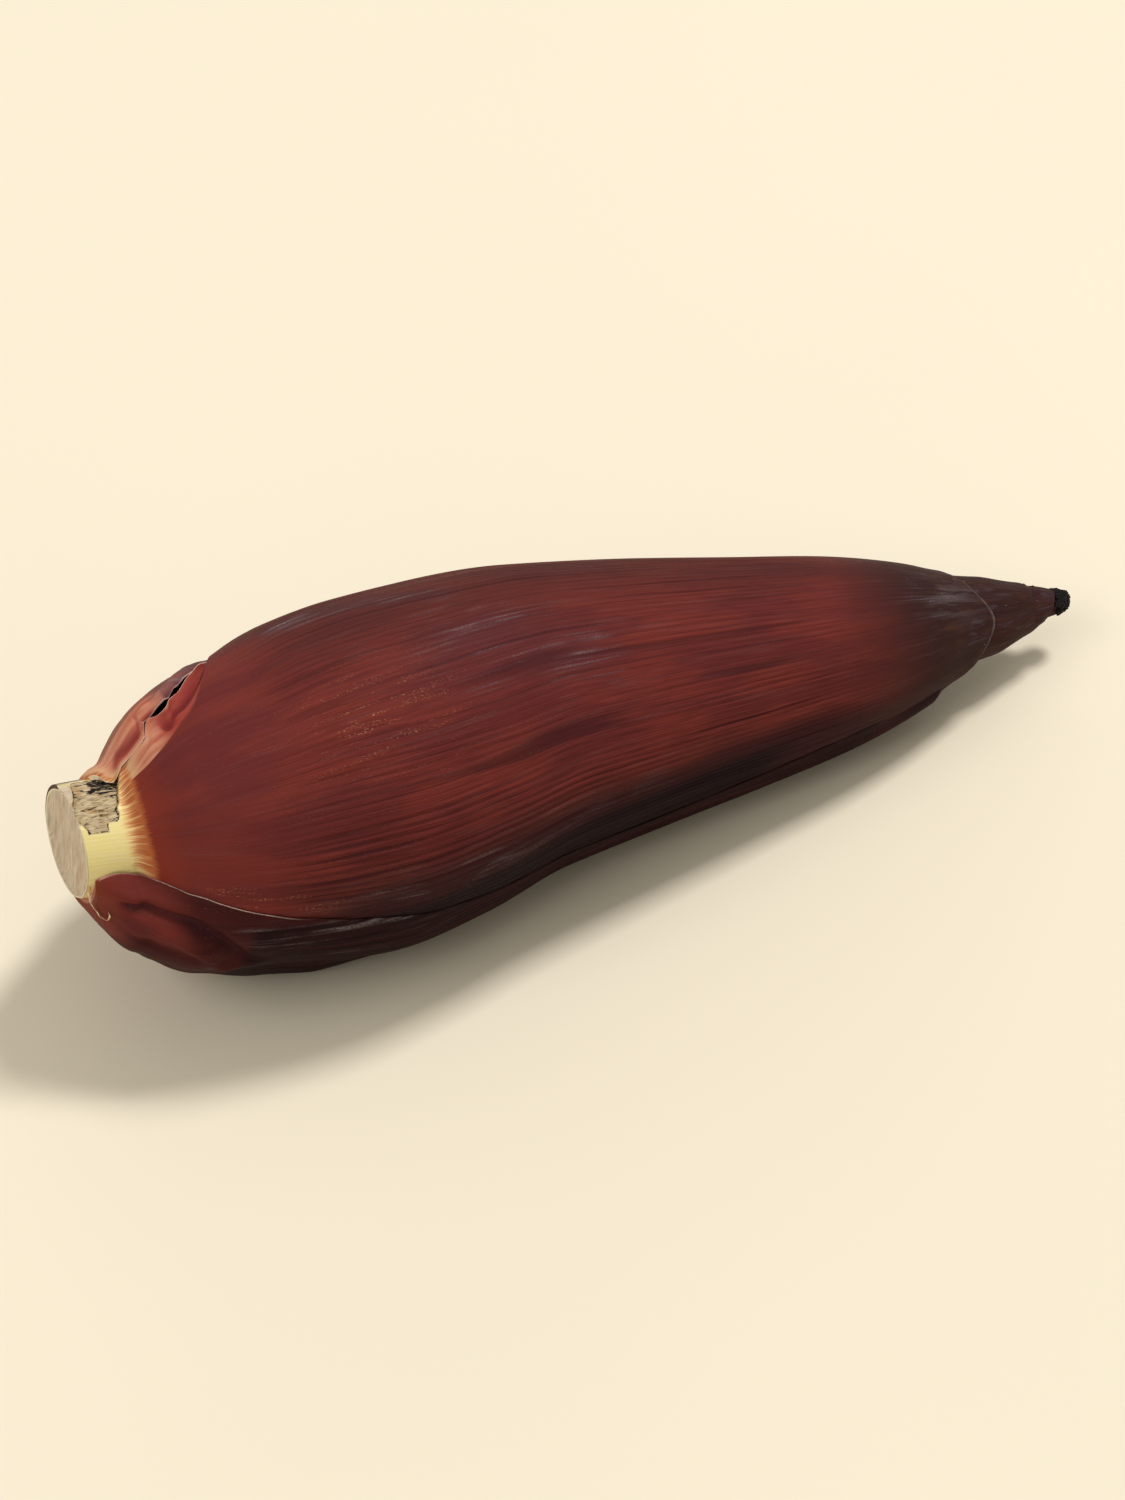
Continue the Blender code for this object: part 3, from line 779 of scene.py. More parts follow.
# Where the valley and the ridge of the under bract's lobe run, as phi by s.
valley_line = curve_through(
    [(4, -13), (9, -12), (14, -11.2), (19, -11), (23, -12.5), (27, -16), (31, -22), (36, -30)]
)
ridge_line = curve_through([(8, -21), (13, -20.5), (17, -19), (21, -21.5), (26, -28), (31, -36)])

# The crease of the front bract's folded strip as phi by s, and where each pale root ends as s by phi.
fold_line = curve_through(
    [(13, 84), (17, 87), (20, 86), (23, 87), (26, 89), (29, 92), (33, 96), (38, 106), (45, 125), (52, 142)]
)
front_base = curve_through(
    [(-20, 16.4), (6, 16.1), (24, 15.6), (44, 15.2), (66, 15.4), (90, 16.0), (110, 16.6)]
)
back_base = curve_through(
    [(98, 15.5), (104, 13.6), (110, 11.6), (116, 9.8), (122, 8.4), (130, 7.8), (180, 8.2)]
)
back_flare = curve_through(
    [(7.5, 0.2), (11, 2.2), (17, 3.2), (23, 1.6), (29, 0.3), (36, -0.3), (46, -0.1), (58, 0)]
)


class UnderBract(Bract):
    """The outermost bract: a smooth lobe at its root, folded once, and a waxy belly painted dark as shade."""

    def folds(self, s, phi):
        front = turned(phi, 0)
        depth = rise(s, 4, 5) * fall(s, 44, 16)
        width = 3.2 + 1.6 * rise(s, 16, 10)
        valley = -(2.0 + 1.0 * rise(s, 18, 6)) * hump(front, valley_line(s), width)
        ridge = 1.8 * hump(front, ridge_line(s), 4.8) * rise(s, 9, 6)
        roll = 0.7 * hump(front, -4.5, 3.0) * fall(s, 26, 8)
        lower = -0.9 * hump(front, -30, 3.0) * rise(s, 8, 5)
        return depth * (valley + ridge + roll + lower)

    def lift(self, s, u, phi):
        across = ease((POUCH_HALF_ANGLE - np.abs(phi - UNDER_MIDDLE)) / 22)
        return flare(s) * (1 - np.abs(u) ** 5) + pouch(s) * across

    def settle(self, s, u):
        step = 0.75 - 0.4 * fall(s, 9, 6) - 0.55 * rise(s, 48, 22)
        return (pitch(s) - step) * ease((np.abs(u) - 0.80) / 0.20)

    def dry_patch_and_shade(self, s, phi):
        return 0.70 * rise(s, 218, 24)

    def rib_strength(self, s, phi):
        return 0.05 + 1.35 * rise(s, 34, 30) * fall(s, 252, 30)

    def marks(self, s, u, phi):
        return s - 0.7, 0.05 * fall(s, 9, 5)

    def tones(self, s, u, phi):
        front = turned(phi, 0)
        # Painted shade: the belly darkens towards the floor and on its underside.
        below = fall(front, -1, 12) * rise(s, 26, 12)
        dark = np.maximum(below, 0.22 + 0.53 * rise(s, 15, 9))
        shaded = 0.80 * fall(front, -24, 10) * rise(s, 5, 6)
        dark = np.maximum(dark, shaded)
        unseen = ease((np.abs(front) - 60) / 30)
        dark = dark * (1 - unseen) + (0.30 + 0.45 * rise(s, 12, 60)) * unseen
        dark = np.maximum(dark, rise(s, 150, 60))
        # Wax bloom with painted sheen, low on the belly.
        wax_and_sheen = (0.4 + 0.6 * hump(s, 64, 26)) * below * hump(front, -15, 10) * fall(s, 150, 60)
        return dark, 0.05 + wax_and_sheen, 0.10 * (1 - below)

    def feel(self, s, u, phi):
        front = turned(phi, 0)
        ribbed = rise(s, 30, 30) * (1 - 0.8 * rise(s, 200, 40))
        red = 0.4 * fall(s, 26, 10) * rise(front, -18, 14)
        return ribbed, red, fall(s, 52, 14) * (0.45 + 0.55 * rise(s, 12, 8))


class FrontBract(Bract):
    """The bract that faces the viewer, with a crumpled strip folded in along its upper edge."""

    CREASE_COLUMN = 0.86  # u of the grid's column that runs along the crease
    rim_step = 0.55

    def turn_at(self, s, u):
        rim = self.above(s)
        crease = np.minimum(fold_line(s) - self.middle, rim - 2.5)
        crease = crease + (self.CREASE_COLUMN * rim - crease) * rise(s, 48, 60)
        share = (u - self.CREASE_COLUMN) / (1 - self.CREASE_COLUMN)
        upper = np.where(share < 0, u / self.CREASE_COLUMN * crease, crease + share * (rim - crease))
        return self.middle + np.where(u < 0, u * self.below(s), upper)

    def fold_share(self, s, phi):
        """0 at the crease, 1 at the rim, below 0 on the body."""
        rim_phi = self.middle + self.above(s)
        return (phi - fold_line(s)) / np.maximum(rim_phi - fold_line(s), 2.5)

    def folded(self, s, phi):
        """1 on the folded strip, 0 on the body."""
        return ease((self.fold_share(s, phi) + 0.1) / 0.1)

    def folds(self, s, phi):
        share = self.fold_share(s, phi)
        zone = rise(s, 12.5, 5) * fall(s, 54, 14)
        within = np.clip(share, 0, 1)
        upper = rise(s, 25.5, 5)
        hollow = -1.6 * np.sin(np.pi * within) - 1.2 * upper * ease(share / 0.9)
        notch = -0.8 * hump(share, 0.06, 0.07) * (1 - 0.6 * upper)
        trough = -1.7 * bell((share - 0.62 + 0.34 * rise(s, 27, 16)) / 0.13) * upper
        lip = (0.7 + 0.40 * np.sin(s / 2.1 + 0.6) + 0.20 * np.sin(s / 0.95)) * rise(share, 0.80, 0.20)
        across = s - 26.4 + 0.10 * (phi - 108)
        pucker = (0.8 * hump(across, 2.8, 1.6) - 1.1 * bell(across / 1.2)) * rise(share, 0.10, 0.40)
        belly = 1.7 * hump(s, 21.5, 3.4) * hump(share, 0.45, 0.26)
        soft = 0.25 * wander(s / 5.2, phi / 8, 7) * ease(share / 0.3)
        return zone * (hollow + notch + trough + lip + pucker + belly + soft)

    # The strip's folds, painted as shade in their hollows and as highlight on their crests.
    def fold_light_and_shade(self, folds):
        return np.where(np.abs(folds) > 1e-6, 0.50 * (folds + 0.9), 0.0)

    def hood_line(self, s):
        # The grey hood line is partly a painted highlight.
        return 0.9 * rise(s, 236, 14)

    def lift(self, s, u, phi):
        flush = stalk_radius(np.minimum(s, 12)) - 0.10 - layer_radius(s, 1)
        sunk = -0.45 * fall(s, 11.4, 0.8)
        return flush * fall(s, 15.0, 3.0) + sunk

    def carve(self, s, phi, body):
        """Sinks the root under the stalk's scar, which runs on below it."""
        scar = scar_share(s, phi) * (s < 16) * fall(phi, 109, 3)
        return body * (1 - scar) + np.minimum(body, SCAR_CHORD - 0.9) * scar

    def settle(self, s, u):
        """Past the crumpled strip the upper rim lies close on the bract behind."""
        return (pitch(s) - 0.7) * rise(u, 0.89, 0.11) * rise(s, 44, 10) * fall(s, 150, 60)

    def dry_patch_and_shade(self, s, phi):
        """Painted shade: the skin turns black towards the floor."""
        below = ease((4 - phi + 0.10 * (s - 60)) / 22) * rise(s, 44, 26) * fall(s, 240, 60)
        return 0.80 * below

    def rib_strength(self, s, phi):
        low = 0.85 + 0.75 * fall(phi, 50, 50)
        return low * rise(s, 28, 38) * (1 - 0.85 * rise(s, 195, 45))

    def marks(self, s, u, phi):
        share = self.fold_share(s, phi)
        folded = rise(share, -0.04, 0.12) * rise(s, 13, 3) * fall(s, 56, 26)
        near_base = fall(s, 29, 9)
        return s - front_base(phi), folded * (0.80 + 0.15 * near_base)

    def tones(self, s, u, phi):
        # Darker towards the tip, painted shade towards the floor, and darker on top, except on the folded
        # strip.
        tip = rise(s, 205, 45)
        low = fall(phi, 18, 26) * rise(s, 38, 30)
        top = 0.45 * rise(phi, 72, 30) * rise(s, 42, 25)
        body = 1 - self.folded(s, phi) * fall(s, 60, 16)
        dark = np.maximum(np.maximum(tip, 0.92 * low), top * body)
        dots = rise(s, 20, 8) * fall(s, 150, 50) * fall(phi, 96, 20)
        near_rim = hump(s, 38, 15) * bell((phi - 8.0 + 0.42 * (s - 28)) / 4.5)
        cluster = hump(s, 74, 16) * hump(phi, 62, 14) + 1.3 * near_rim
        # Painted sheen, given as wax: a band along the upper edge, patches in the middle, a band low down and
        # a patch on the hood.
        upper = 0.9 * bell((phi - 115 + 0.3 * (s - 75)) / 5) * rise(s, 52, 14) * fall(s, 118, 20)
        middle = 0.50 * hump(s, 106, 20) * hump(phi, 80, 12)
        middle = middle + 0.5 * hump(s, 130, 18) * hump(phi, 62, 14)
        below = 0.55 * hump(phi, -1, 9) * rise(s, 55, 25) * fall(s, 170, 50)
        hood = 1.1 * hump(s, 255, 10) * hump(phi, 68, 17)
        return dark, 0.08 + upper + middle + below + hood, dots * (0.10 + 0.90 * np.clip(cluster, 0, 1))

    def feel(self, s, u, phi):
        ribbed = rise(s, 22, 44) * (0.7 + 0.3 * fall(phi, 55, 45)) * (1 - 0.8 * rise(s, 200, 45))
        red = 0.45 * hump(s, 24, 16) * hump(phi, 20, 30)
        red = red + 0.35 * hump(s, 62, 16) * hump(phi, 104, 12)
        folded = rise(s, 22, 7) * self.folded(s, phi) * fall(s, 56, 10)
        return ribbed, np.maximum(red, folded), fall(s, 60, 12) * rise(phi, 60, 20) + 0.18


class BackBract(Bract):
    """The bract behind, whose crumpled edge leaves a dark slit beside the front bract's."""

    rim_step = -0.05

    def margin(self, s, phi):
        """Degrees inside the edge that faces the slit."""
        return phi - (self.middle - self.below(s))

    def folds(self, s, phi):
        margin = self.margin(s, phi)
        open_slit = rise(s, 21.5, 2) * fall(s, 58, 14)
        closed = rise(s, 12, 4) * fall(s, 24, 3)
        roll = -bell(margin / 3.0) + 0.5 * hump(margin, 6, 3.0) - 0.5 * hump(margin, 12, 3.5)
        swell = 0.4 * hump(margin, 18, 8)
        wrinkle = 0.9 * wander(s / 2.3, margin / 6, 11) * hump(margin, 2, 8) * hump(s, 28, 9)
        seam = 0.9 * bell(margin / 4) - hump(margin, 9, 5)
        return open_slit * (roll + swell + wrinkle) + closed * seam

    def lift(self, s, u, phi):
        flush = stalk_radius(np.minimum(s, 12)) + 0.05 - layer_radius(s, 1)
        risen = back_flare(s) * fall(phi, 165, 25) * rise(phi, 104, 14)
        sunk = -0.35 * fall(s, 8.3, 0.6)
        return risen + flush * fall(s, 13, 4) + sunk

    def dry_patch_and_shade(self, s, phi):
        return 0.62 * rise(s, 287.5, 3.5) * hump(phi, 92, 34)

    def rib_strength(self, s, phi):
        return 0.8 * rise(s, 30, 40) * (1 - 0.7 * rise(s, 210, 40))

    def marks(self, s, u, phi):
        return s - back_base(phi), 0.92 * fall(s, 54, 20) * fall(phi, 172, 30)

    def tones(self, s, u, phi):
        # Darker and waxy from s 24 to 64, where the wax includes painted sheen.
        grey = rise(s, 24, 10) * fall(s, 64, 15) * fall(phi, 170, 20)
        # Painted shade on the side that turns away.
        edge_on = 0.55 * rise(phi, 124, 12) * rise(s, 10, 6)
        dark = np.maximum(rise(s, 205, 45), np.maximum(0.30 * grey, 0.35 * rise(s, 40, 25)))
        return np.maximum(dark, edge_on), 0.12 + 0.75 * grey, 0.05

    def feel(self, s, u, phi):
        ribbed = rise(s, 30, 50) * (1 - 0.8 * rise(s, 210, 40))
        return ribbed, 0.25 * rise(s, 26, 10), fall(s, 60, 12) + 0.12


class InnerBract(Bract):
    """One of the inner bracts, which show only at the tip."""

    rim_step = -0.10

    def __init__(self, *facts, growth):
        super().__init__(*facts)
        self.grown = curve_through(growth)

    def growth(self, s):
        return self.grown(s)

    def lift(self, s, u, phi):
        """The bract on top swells where the others end."""
        if self.middle != TOP_MIDDLE:
            return 0.0
        return 1.15 * rise(s, 284, 7) * fall(s, 304, 7)

    def dry_patch_and_shade(self, s, phi):
        return 0.62 * hump(s, 291.8, 1.8) * hump(phi, 92, 34) + 0.8 * rise(s, 297, 3)

    def rib_strength(self, s, phi):
        return 0.25 * rise(s, 90, 40) * ease((self.tip - s) / 30)

    def tones(self, s, u, phi):
        return 0.5 + 0.45 * rise(s, 200, 50), 0.12, 0.05

    def feel(self, s, u, phi):
        return 0.2, 0.0, 0.15


def make_bracts():
    """All five, from the outermost inwards. Gives the skin of the inner ones, which the heart has too."""
    skin = skin_look("bract_skin_waxy", TIP_AND_SHADE_BROWN)
    # The outermost bract darkens to near black, mostly as painted shade towards the floor.
    under_skin = skin_look("bract_skin_shaded", NEAR_BLACK)
    deep = skin_look("inner_bract_skin_smooth", TIP_AND_SHADE_BROWN, relief=0.5)
    under = UnderBract(
        UNDER_MIDDLE, [(0, 0), (305, 0)], 2.0, 258,
        [(2, 58), (10, 63), (24, 74), (50, 84), (72, 82), (100, 76), (150, 72), (264, 92)],
        [(2, 98), (3.5, 101), (5, 103.5), (8, 106), (10, 105), (12, 103), (15, 103.4), (20, 103), (22, 102.3),
         (24, 102.5), (29, 100.4), (34, 98), (40, 95.6), (46, 93), (52, 91.5), (60, 89), (80, 83), (100, 78),
         (150, 72), (264, 92)],
        3,
    )  # fmt: skip
    front = FrontBract(
        FRONT_MIDDLE, [(0, 1), (305, 1)], 10.5, 271.5,
        [(10.5, 48), (13, 54), (24, 60), (40, 78), (60, 95), (100, 102), (160, 100), (280, 112)],
        [(10.5, 60), (13.2, 65), (15.7, 68), (18.3, 63.5), (21.6, 62), (23.6, 70.5), (24.8, 71.5), (26.2, 69),
         (28.6, 66.5), (30.5, 71), (32.6, 73.5), (35.5, 78), (40.5, 84), (46.6, 91), (58, 102), (75, 107),
         (110, 104), (280, 112)],
        4.5,
    )  # fmt: skip
    back = BackBract(
        BACK_MIDDLE, [(0, 1), (40, 1), (57, 2), (305, 2)], 7.5, 296,
        [(7.5, 58), (9, 63), (11, 72), (13.2, 80), (15.7, 75.5), (18.3, 77.5), (21.4, 78.5), (22.3, 75),
         (23.2, 66), (26, 66.5), (28.8, 65.5), (31, 62.5), (34, 58), (37.4, 53), (46, 46), (54, 41), (63, 47),
         (80, 78), (110, 98), (240, 109), (266, 138), (286, 150)],
        [(7.5, 76), (12, 78), (30, 84), (60, 96), (110, 100), (286, 112)],
        2.5,
    )  # fmt: skip
    wrap = [(40, 62), (70, 88), (100, 102), (240, 111), (275, 132), (300, 140)]
    low_growth = [(45, 0.33), (60, 0.49), (75, 0.64), (95, 0.86), (122, 1)]
    low = InnerBract(LOW_MIDDLE, [(0, 3), (305, 3)], 45, 295, wrap, wrap, 2, growth=low_growth)
    top_growth = [(62, 0.27), (80, 0.48), (104, 0.79), (134, 1)]
    top = InnerBract(TOP_MIDDLE, [(0, 4), (305, 4)], 62, 299, wrap, wrap, 1.5, growth=top_growth)
    for bract, name, node, stations, columns, look, slot in (
        (under, "under_bract", "bract_1_under", ((2, 62, 90), (62, 240, 64), (240, 258, 16)), 330,
         under_skin, "bract_skin"),
        (front, "front_bract", "bract_2_front",
         ((10.5, 16.5, 24), (16.5, 60, 68), (60, 244, 70), (244, 271.5, 30)), 380, skin, "bract_skin"),
        (back, "back_bract", "bract_3_back", ((7.5, 62, 80), (62, 255, 60), (255, 296, 34)), 300,
         skin, "bract_skin"),
        (low, "inner_bract_low", "bract_4_inner_low", ((45, 250, 50), (250, 295, 40)), 120,
         deep, "inner_bract_skin"),
        (top, "inner_bract_top", "bract_5_inner_top", ((62, 250, 46), (250, 299, 44)), 120,
         deep, "inner_bract_skin"),
    ):  # fmt: skip
        bract.build(name, node, spread(*stations), columns, look, slot)
    return deep


# The stalk: pale rind, a cut face with upright fibres, and the sunken scar of an older bract.

STALK_SIDES = 240
CUT_START, STALK_END = 0.1, 77.0
CUT_EDGE = 0.35  # mm of s over which the cut's edge is rounded
FACE_MIDDLE = 0.5  # s of the cut face's middle point
FACE_RINGS = 58
SCAR_MIDDLE, SCAR_CHORD = 83.0, 13.3  # phi of the scar, and how far its flat face is from the axis
HUSK_FROM, HUSK_TO = 118, 240  # phi
scar_start = curve_through([(44, 2.2), (52, 1.6), (60, 0.6), (75, 0.3), (95, 1.8), (118, 3.2)])
scar_end = curve_through(
    [(44, 6.4), (47, 7.4), (56, 7.7), (57, 10.2), (66, 10.9), (85, 12.6), (103, 14.6), (118, 14.8)]
)


def scar_share(s, phi):
    """1 inside the scar, 0 outside, with a ragged border."""
    ragged = 0.35 * wander(s / 0.9, phi / 4, 21)
    low = ease((phi - 47 - 3 * ragged) / 1.6) * ease((117 + 4 * ragged - phi) / 2.0)
    return low * ease((scar_end(phi) + ragged - s) / 0.5) * ease((s - scar_start(phi) - ragged) / 0.5 + 0.5)


def stalk_wall(s, phi, scar):
    """The radius of the stalk's side, with the scar's rough flat face."""
    off = turned(phi, SCAR_MIDDLE)
    radius = stalk_radius(s) + 0.10 * wander(s / 9, phi / 14, 22) - 0.12
    chord = SCAR_CHORD / np.cos(np.radians(off * 0.95)) + 0.32 * wander(s / 4, phi / 2.6, 23)
    chord += 0.28 * wander(s / 1.3, phi / 1.7, 24) - 0.5 * ease((wander(s / 2.4, phi / 5, 25) - 0.2) / 0.3)
    inward = 0.75 * ease((scar_start(phi) + 0.4 - s) / 1.2) * rise(phi, 52, 8) * fall(phi, 124, 8)
    radius = radius * (1 - scar) + np.minimum(radius, chord) * scar - inward * (1 - scar)
    radius += 1.9 * hump(s, 13.2, 1.8) * hump(phi, 111, 7) * (1 - scar)
    return radius - CUT_EDGE * (1 - np.sqrt(1 - (1 - np.clip(s / CUT_EDGE, 0, 1)) ** 2))


def make_stalk():
    sides = STALK_SIDES
    turn = np.arange(sides)[None, :] * 360.0 / sides
    wall = spread((CUT_START, 0.4, 4), (0.4, 16, 78), (16, STALK_END, 30))[:, None]
    phi = turn + 0 * wall
    scar = scar_share(wall, phi) * (np.abs(turned(phi, SCAR_MIDDLE)) < 42)
    radius = stalk_wall(wall, phi, scar)
    rim = radius[0]

    shares = np.sqrt(np.linspace(0.0, 1.0, FACE_RINGS + 2)[1:-1])[:, None]
    face_radius = shares * rim[None, :]
    face_phi = turn + 0 * shares
    y, z = face_radius * np.cos(np.radians(face_phi)), face_radius * np.sin(np.radians(face_phi))
    far = 0.75 * hump(face_phi, 126, 22) + 0.25 * rise(face_phi, 108, 12) * fall(face_phi, HUSK_TO, 60)
    face_edge = (1 - shares) * rim[None, :] - 1.3 * far
    depth = 0.75 + 0.45 * wander(y / 1.9, z / 11, 26) + 0.25 * wander(y / 0.8, z / 5, 27)
    depth = depth - 0.18 * rise(y, -2, 10) + 0.10 * wander(y / 0.35, z / 2.5, 29)
    depth = np.maximum(depth * ease((1 - shares) / 0.08), CUT_START)
    depth = depth + 0.5 * ease(-face_edge / 0.3) * ease((1 - shares) / 0.02)
    ends = [place(FACE_MIDDLE, 0.0, 0.0), place(STALK_END, 0.0, 0.0)]
    grids = [place(wall, phi, radius), place(depth, face_phi, face_radius)]
    points = np.concatenate([part.reshape(-1, 3) for part in grids + ends])

    walls, rings = len(wall), len(shares)
    first_face = walls * sides
    centre, end = first_face + rings * sides, first_face + rings * sides + 1
    faces = ring_faces(walls, sides) + ring_faces(rings, sides, first_face)
    outer = first_face + (rings - 1) * sides
    for j in range(sides):
        k = (j + 1) % sides
        faces.append([outer + j, j, k, outer + k])
        faces.append([centre, first_face + j, first_face + k])
        faces.append([end, (walls - 1) * sides + k, (walls - 1) * sides + j])

    charred = hump(phi, 105, 11) * hump(wall, 10.5, 4.2) + 0.30 * wander(wall / 2, phi / 5, 28)
    border = 4 * scar * (1 - scar)
    scar_mark = scar * (1 + 0.6 * np.clip(charred, 0, 1)) + 1.2 * border * (scar > 0.1)
    slanted = ease((scar_start(phi) - wall) / 0.4) * rise(phi, 56, 4) * fall(phi, 122, 6)
    wall_cut = np.maximum(fall(wall, CUT_EDGE, 0.3), slanted)
    husked = rise(phi, HUSK_FROM, 10) * fall(phi, HUSK_TO, 30)
    beyond_root = wall - front_base(turned(phi, 45) + 45)
    wall_y, wall_z = radius * np.cos(np.radians(phi)), radius * np.sin(np.radians(phi))
    wall_rim, face_across = 2.0 * slanted - husked, face_phi * ACROSS_PER_DEGREE
    attributes = {
        label: np.concatenate([vectors(phi, *on_wall), vectors(face_phi, *on_face), [middle, (0, 0, 0)]])
        for label, on_wall, on_face, middle in (
            ("bud", (wall, phi * ACROSS_PER_DEGREE, beyond_root), (0, face_across, 0), (0, 0, 0)),
            ("marks", (wall_cut, scar_mark * (1 - wall_cut), wall_rim), (1, 0, face_edge), (1, 0, 14)),
            ("face", (wall_y, wall_z, husked), (y, z, 0), (0, 0, 0)),
        )
    }
    made = add_piece("stalk_with_cut_face", points, faces, stalk_look(), "stalk", attributes, sharp=40)
    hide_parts("stalk")


# The heart of the bud, the dried tip, and the crumbs and torn fibre that cling to the bud.

HEART_START, HEART_SIDES, HEART_LAYER = 79.0, 96, 5
heart_growth = curve_through([(79, 0.16), (86, 0.42), (104, 0.74), (134, 0.96), (150, 1)])
CRUST_START, CRUST_END, CRUST_LUMPS = 300.4, BUD_LENGTH - 2.4, 84
CRUST_MIDDLE = 25  # phi where the crust reaches furthest back
GOLDEN_ANGLE = 137.5
CRUMBS = [  # s, phi and half-length in mm
    (289.8, 116.0, 0.55), (292.6, 114.0, 0.50), (293.4, 110.0, 0.35), (300.6, 108.0, 0.95),
    (301.4, 104.0, 0.6), (301.0, 30.0, 0.7), (303.6, 80.0, 0.7),
]  # fmt: skip
THREADS = [(95, 1.2), (130, 0.9), (35, 0.8)]  # phi, and how far each stands out
TORN_FIBRE = [  # s, phi and radius of its middle line
    (0.7, -19, 15.0), (0.7, -23, 17.2), (1.2, -27, 18.2), (2.1, -31, 19.0), (3.0, -34.5, 20.3),
    (3.8, -35, 21.0), (4.3, -31, 21.8), (4.4, -26, 21.6), (4.1, -22.5, 20.8),
]  # fmt: skip


def make_heart(look):
    s = spread((HEART_START, 260, 60), (260, BUD_LENGTH - 0.6, 60))[:, None]
    phi = np.arange(HEART_SIDES)[None, :] * 360.0 / HEART_SIDES + 0 * s
    radius = layer_radius(s, HEART_LAYER) * heart_growth(s) - 0.25 + 0.12 * wander(s / 20, phi / 9, 31)
    ends = [place(at, 0.0, 0.0) for at in (HEART_START, BUD_LENGTH - 0.3)]
    points = np.concatenate([place(s, phi, radius).reshape(-1, 3), ends])
    parts = {
        "bud": (s, phi * ACROSS_PER_DEGREE, 1.0),
        "marks": (NO_EDGE, NO_BASE, 0.0),
        "tones": (1.0, 0.1, 0.0),
        "feel": (0.2, 0.0, 0.0),
        "relief": (0.0, 0.0, 0.0),
    }
    tail = np.ones((len(ends), 3))
    attributes = {label: np.concatenate([vectors(phi, *part), tail]) for label, part in parts.items()}
    faces = capped_faces(len(s), HEART_SIDES)
    made = add_piece("heart_of_the_bud", points, faces, look, "inner_bract_skin", attributes)
    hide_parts("heart")


def lump(centre, size, seed, ragged=0.5, rings=7, sides=9):
    """A small lump: points and faces. size is its three half-lengths in metres."""
    tilt = np.linspace(0, np.pi, rings)[1:-1, None]
    turn = np.linspace(0, 2 * np.pi, sides, endpoint=False)[None, :] + 0 * tilt
    swell = 1 + ragged * wander(tilt * 2.3, turn * 1.9, seed)
    out = np.sin(tilt) * swell
    ring_points = vectors(turn, out * np.cos(turn), out * np.sin(turn), np.cos(tilt) * swell)
    points = np.concatenate([ring_points, [[0, 0, 1.0], [0, 0, -1.0]]])
    return centre + points * np.array(size), capped_faces(rings - 2, sides)


def tube(path, radii, sides=6, flat=1.0):
    """A closed tube along world points; flat is its thickness as a share of its width."""
    points = []
    for i, centre in enumerate(path):
        along = path[min(i + 1, len(path) - 1)] - path[max(i - 1, 0)]
        along = along / np.linalg.norm(along)
        side = np.cross(along, (0.13, 0.31, 0.94))
        side /= np.linalg.norm(side)
        other = np.cross(along, side)
        for j in range(sides):
            turn = 2 * math.pi * j / sides
            points.append(centre + radii[i] * MM * (side * math.cos(turn) + flat * other * math.sin(turn)))
    return np.array([*points, path[0], path[-1]]), capped_faces(len(path), sides)


def make_tip():
    """The crumbling black end of the tip, its frayed threads, and crumbs of the same on the skin."""
    pieces = []
    for i in range(CRUST_LUMPS):
        share, turn = i / (CRUST_LUMPS - 1), GOLDEN_ANGLE * i
        back = 1.9 * bell(turned(turn, CRUST_MIDDLE) / 50) + 0.8 * math.sin(i * 1.3)
        at = CRUST_START + (CRUST_END - CRUST_START) * share**0.75 - back * (1 - share)
        size = (0.70 + 0.38 * math.sin(i * 2.4)) * MM
        pieces.append(lump(place(at, turn, outline(at) - 0.30), (1.5 * size, size, 0.8 * size), 60 + i))
    for i, (at, turn, size) in enumerate(CRUMBS):
        half = size * MM
        pieces.append(lump(place(at, turn, outline(at) - 0.10), (half, 0.8 * half, 0.8 * half), 50 + i))
    for turn, reach in THREADS:
        k = np.arange(4)
        path = place(302.0 + 0.3 * k, turn + 4.0 * k, 2.4 + 0.3 * reach * k)
        pieces.append(tube(path, [0.32, 0.28, 0.20, 0.08], sides=5))
    add_piece("dried_tip", *joined(pieces), charred_look(), "inner_bract_skin")


def make_torn_strip():
    """A fibre torn from the cut edge, which curls over the root of the outermost bract, and a shorter one."""
    lines = [curve_through([(i, point[k]) for i, point in enumerate(TORN_FIBRE)]) for k in range(3)]
    t = np.linspace(0, len(TORN_FIBRE) - 1, 46)
    width = 0.26 + 0.07 * np.sin(t * 2.1) - 0.14 * rise(t, 6.5, 1.5)
    first = tube(place(*(line(t) for line in lines)), width, sides=8, flat=0.35)
    t = t[:30]
    path = place(0.6 + 0.05 * t, -9 - 1.9 * t, 15.0 + 0.35 * t + 0.5 * np.sin(t * 0.9))
    second = tube(path, 0.24 + 0.07 * np.cos(t * 1.7), sides=8, flat=0.4)
    add_piece("torn_fibre", *joined([first, second]), strip_look(), "stalk")


# Florets: the rows of young flowers between the bracts, hidden unless a bract is lifted.

floret_radius = curve_through(
    [(0, 1.3), (0.15, 1.7), (0.35, 1.9), (0.5, 2.5), (0.62, 2.6), (0.8, 2.2), (0.95, 1.9), (1, 1.2)]
)
FLORET_SIDES = 12
PAD_ROWS, PAD_COLUMNS, PAD_MARGIN = 9, 60, 3


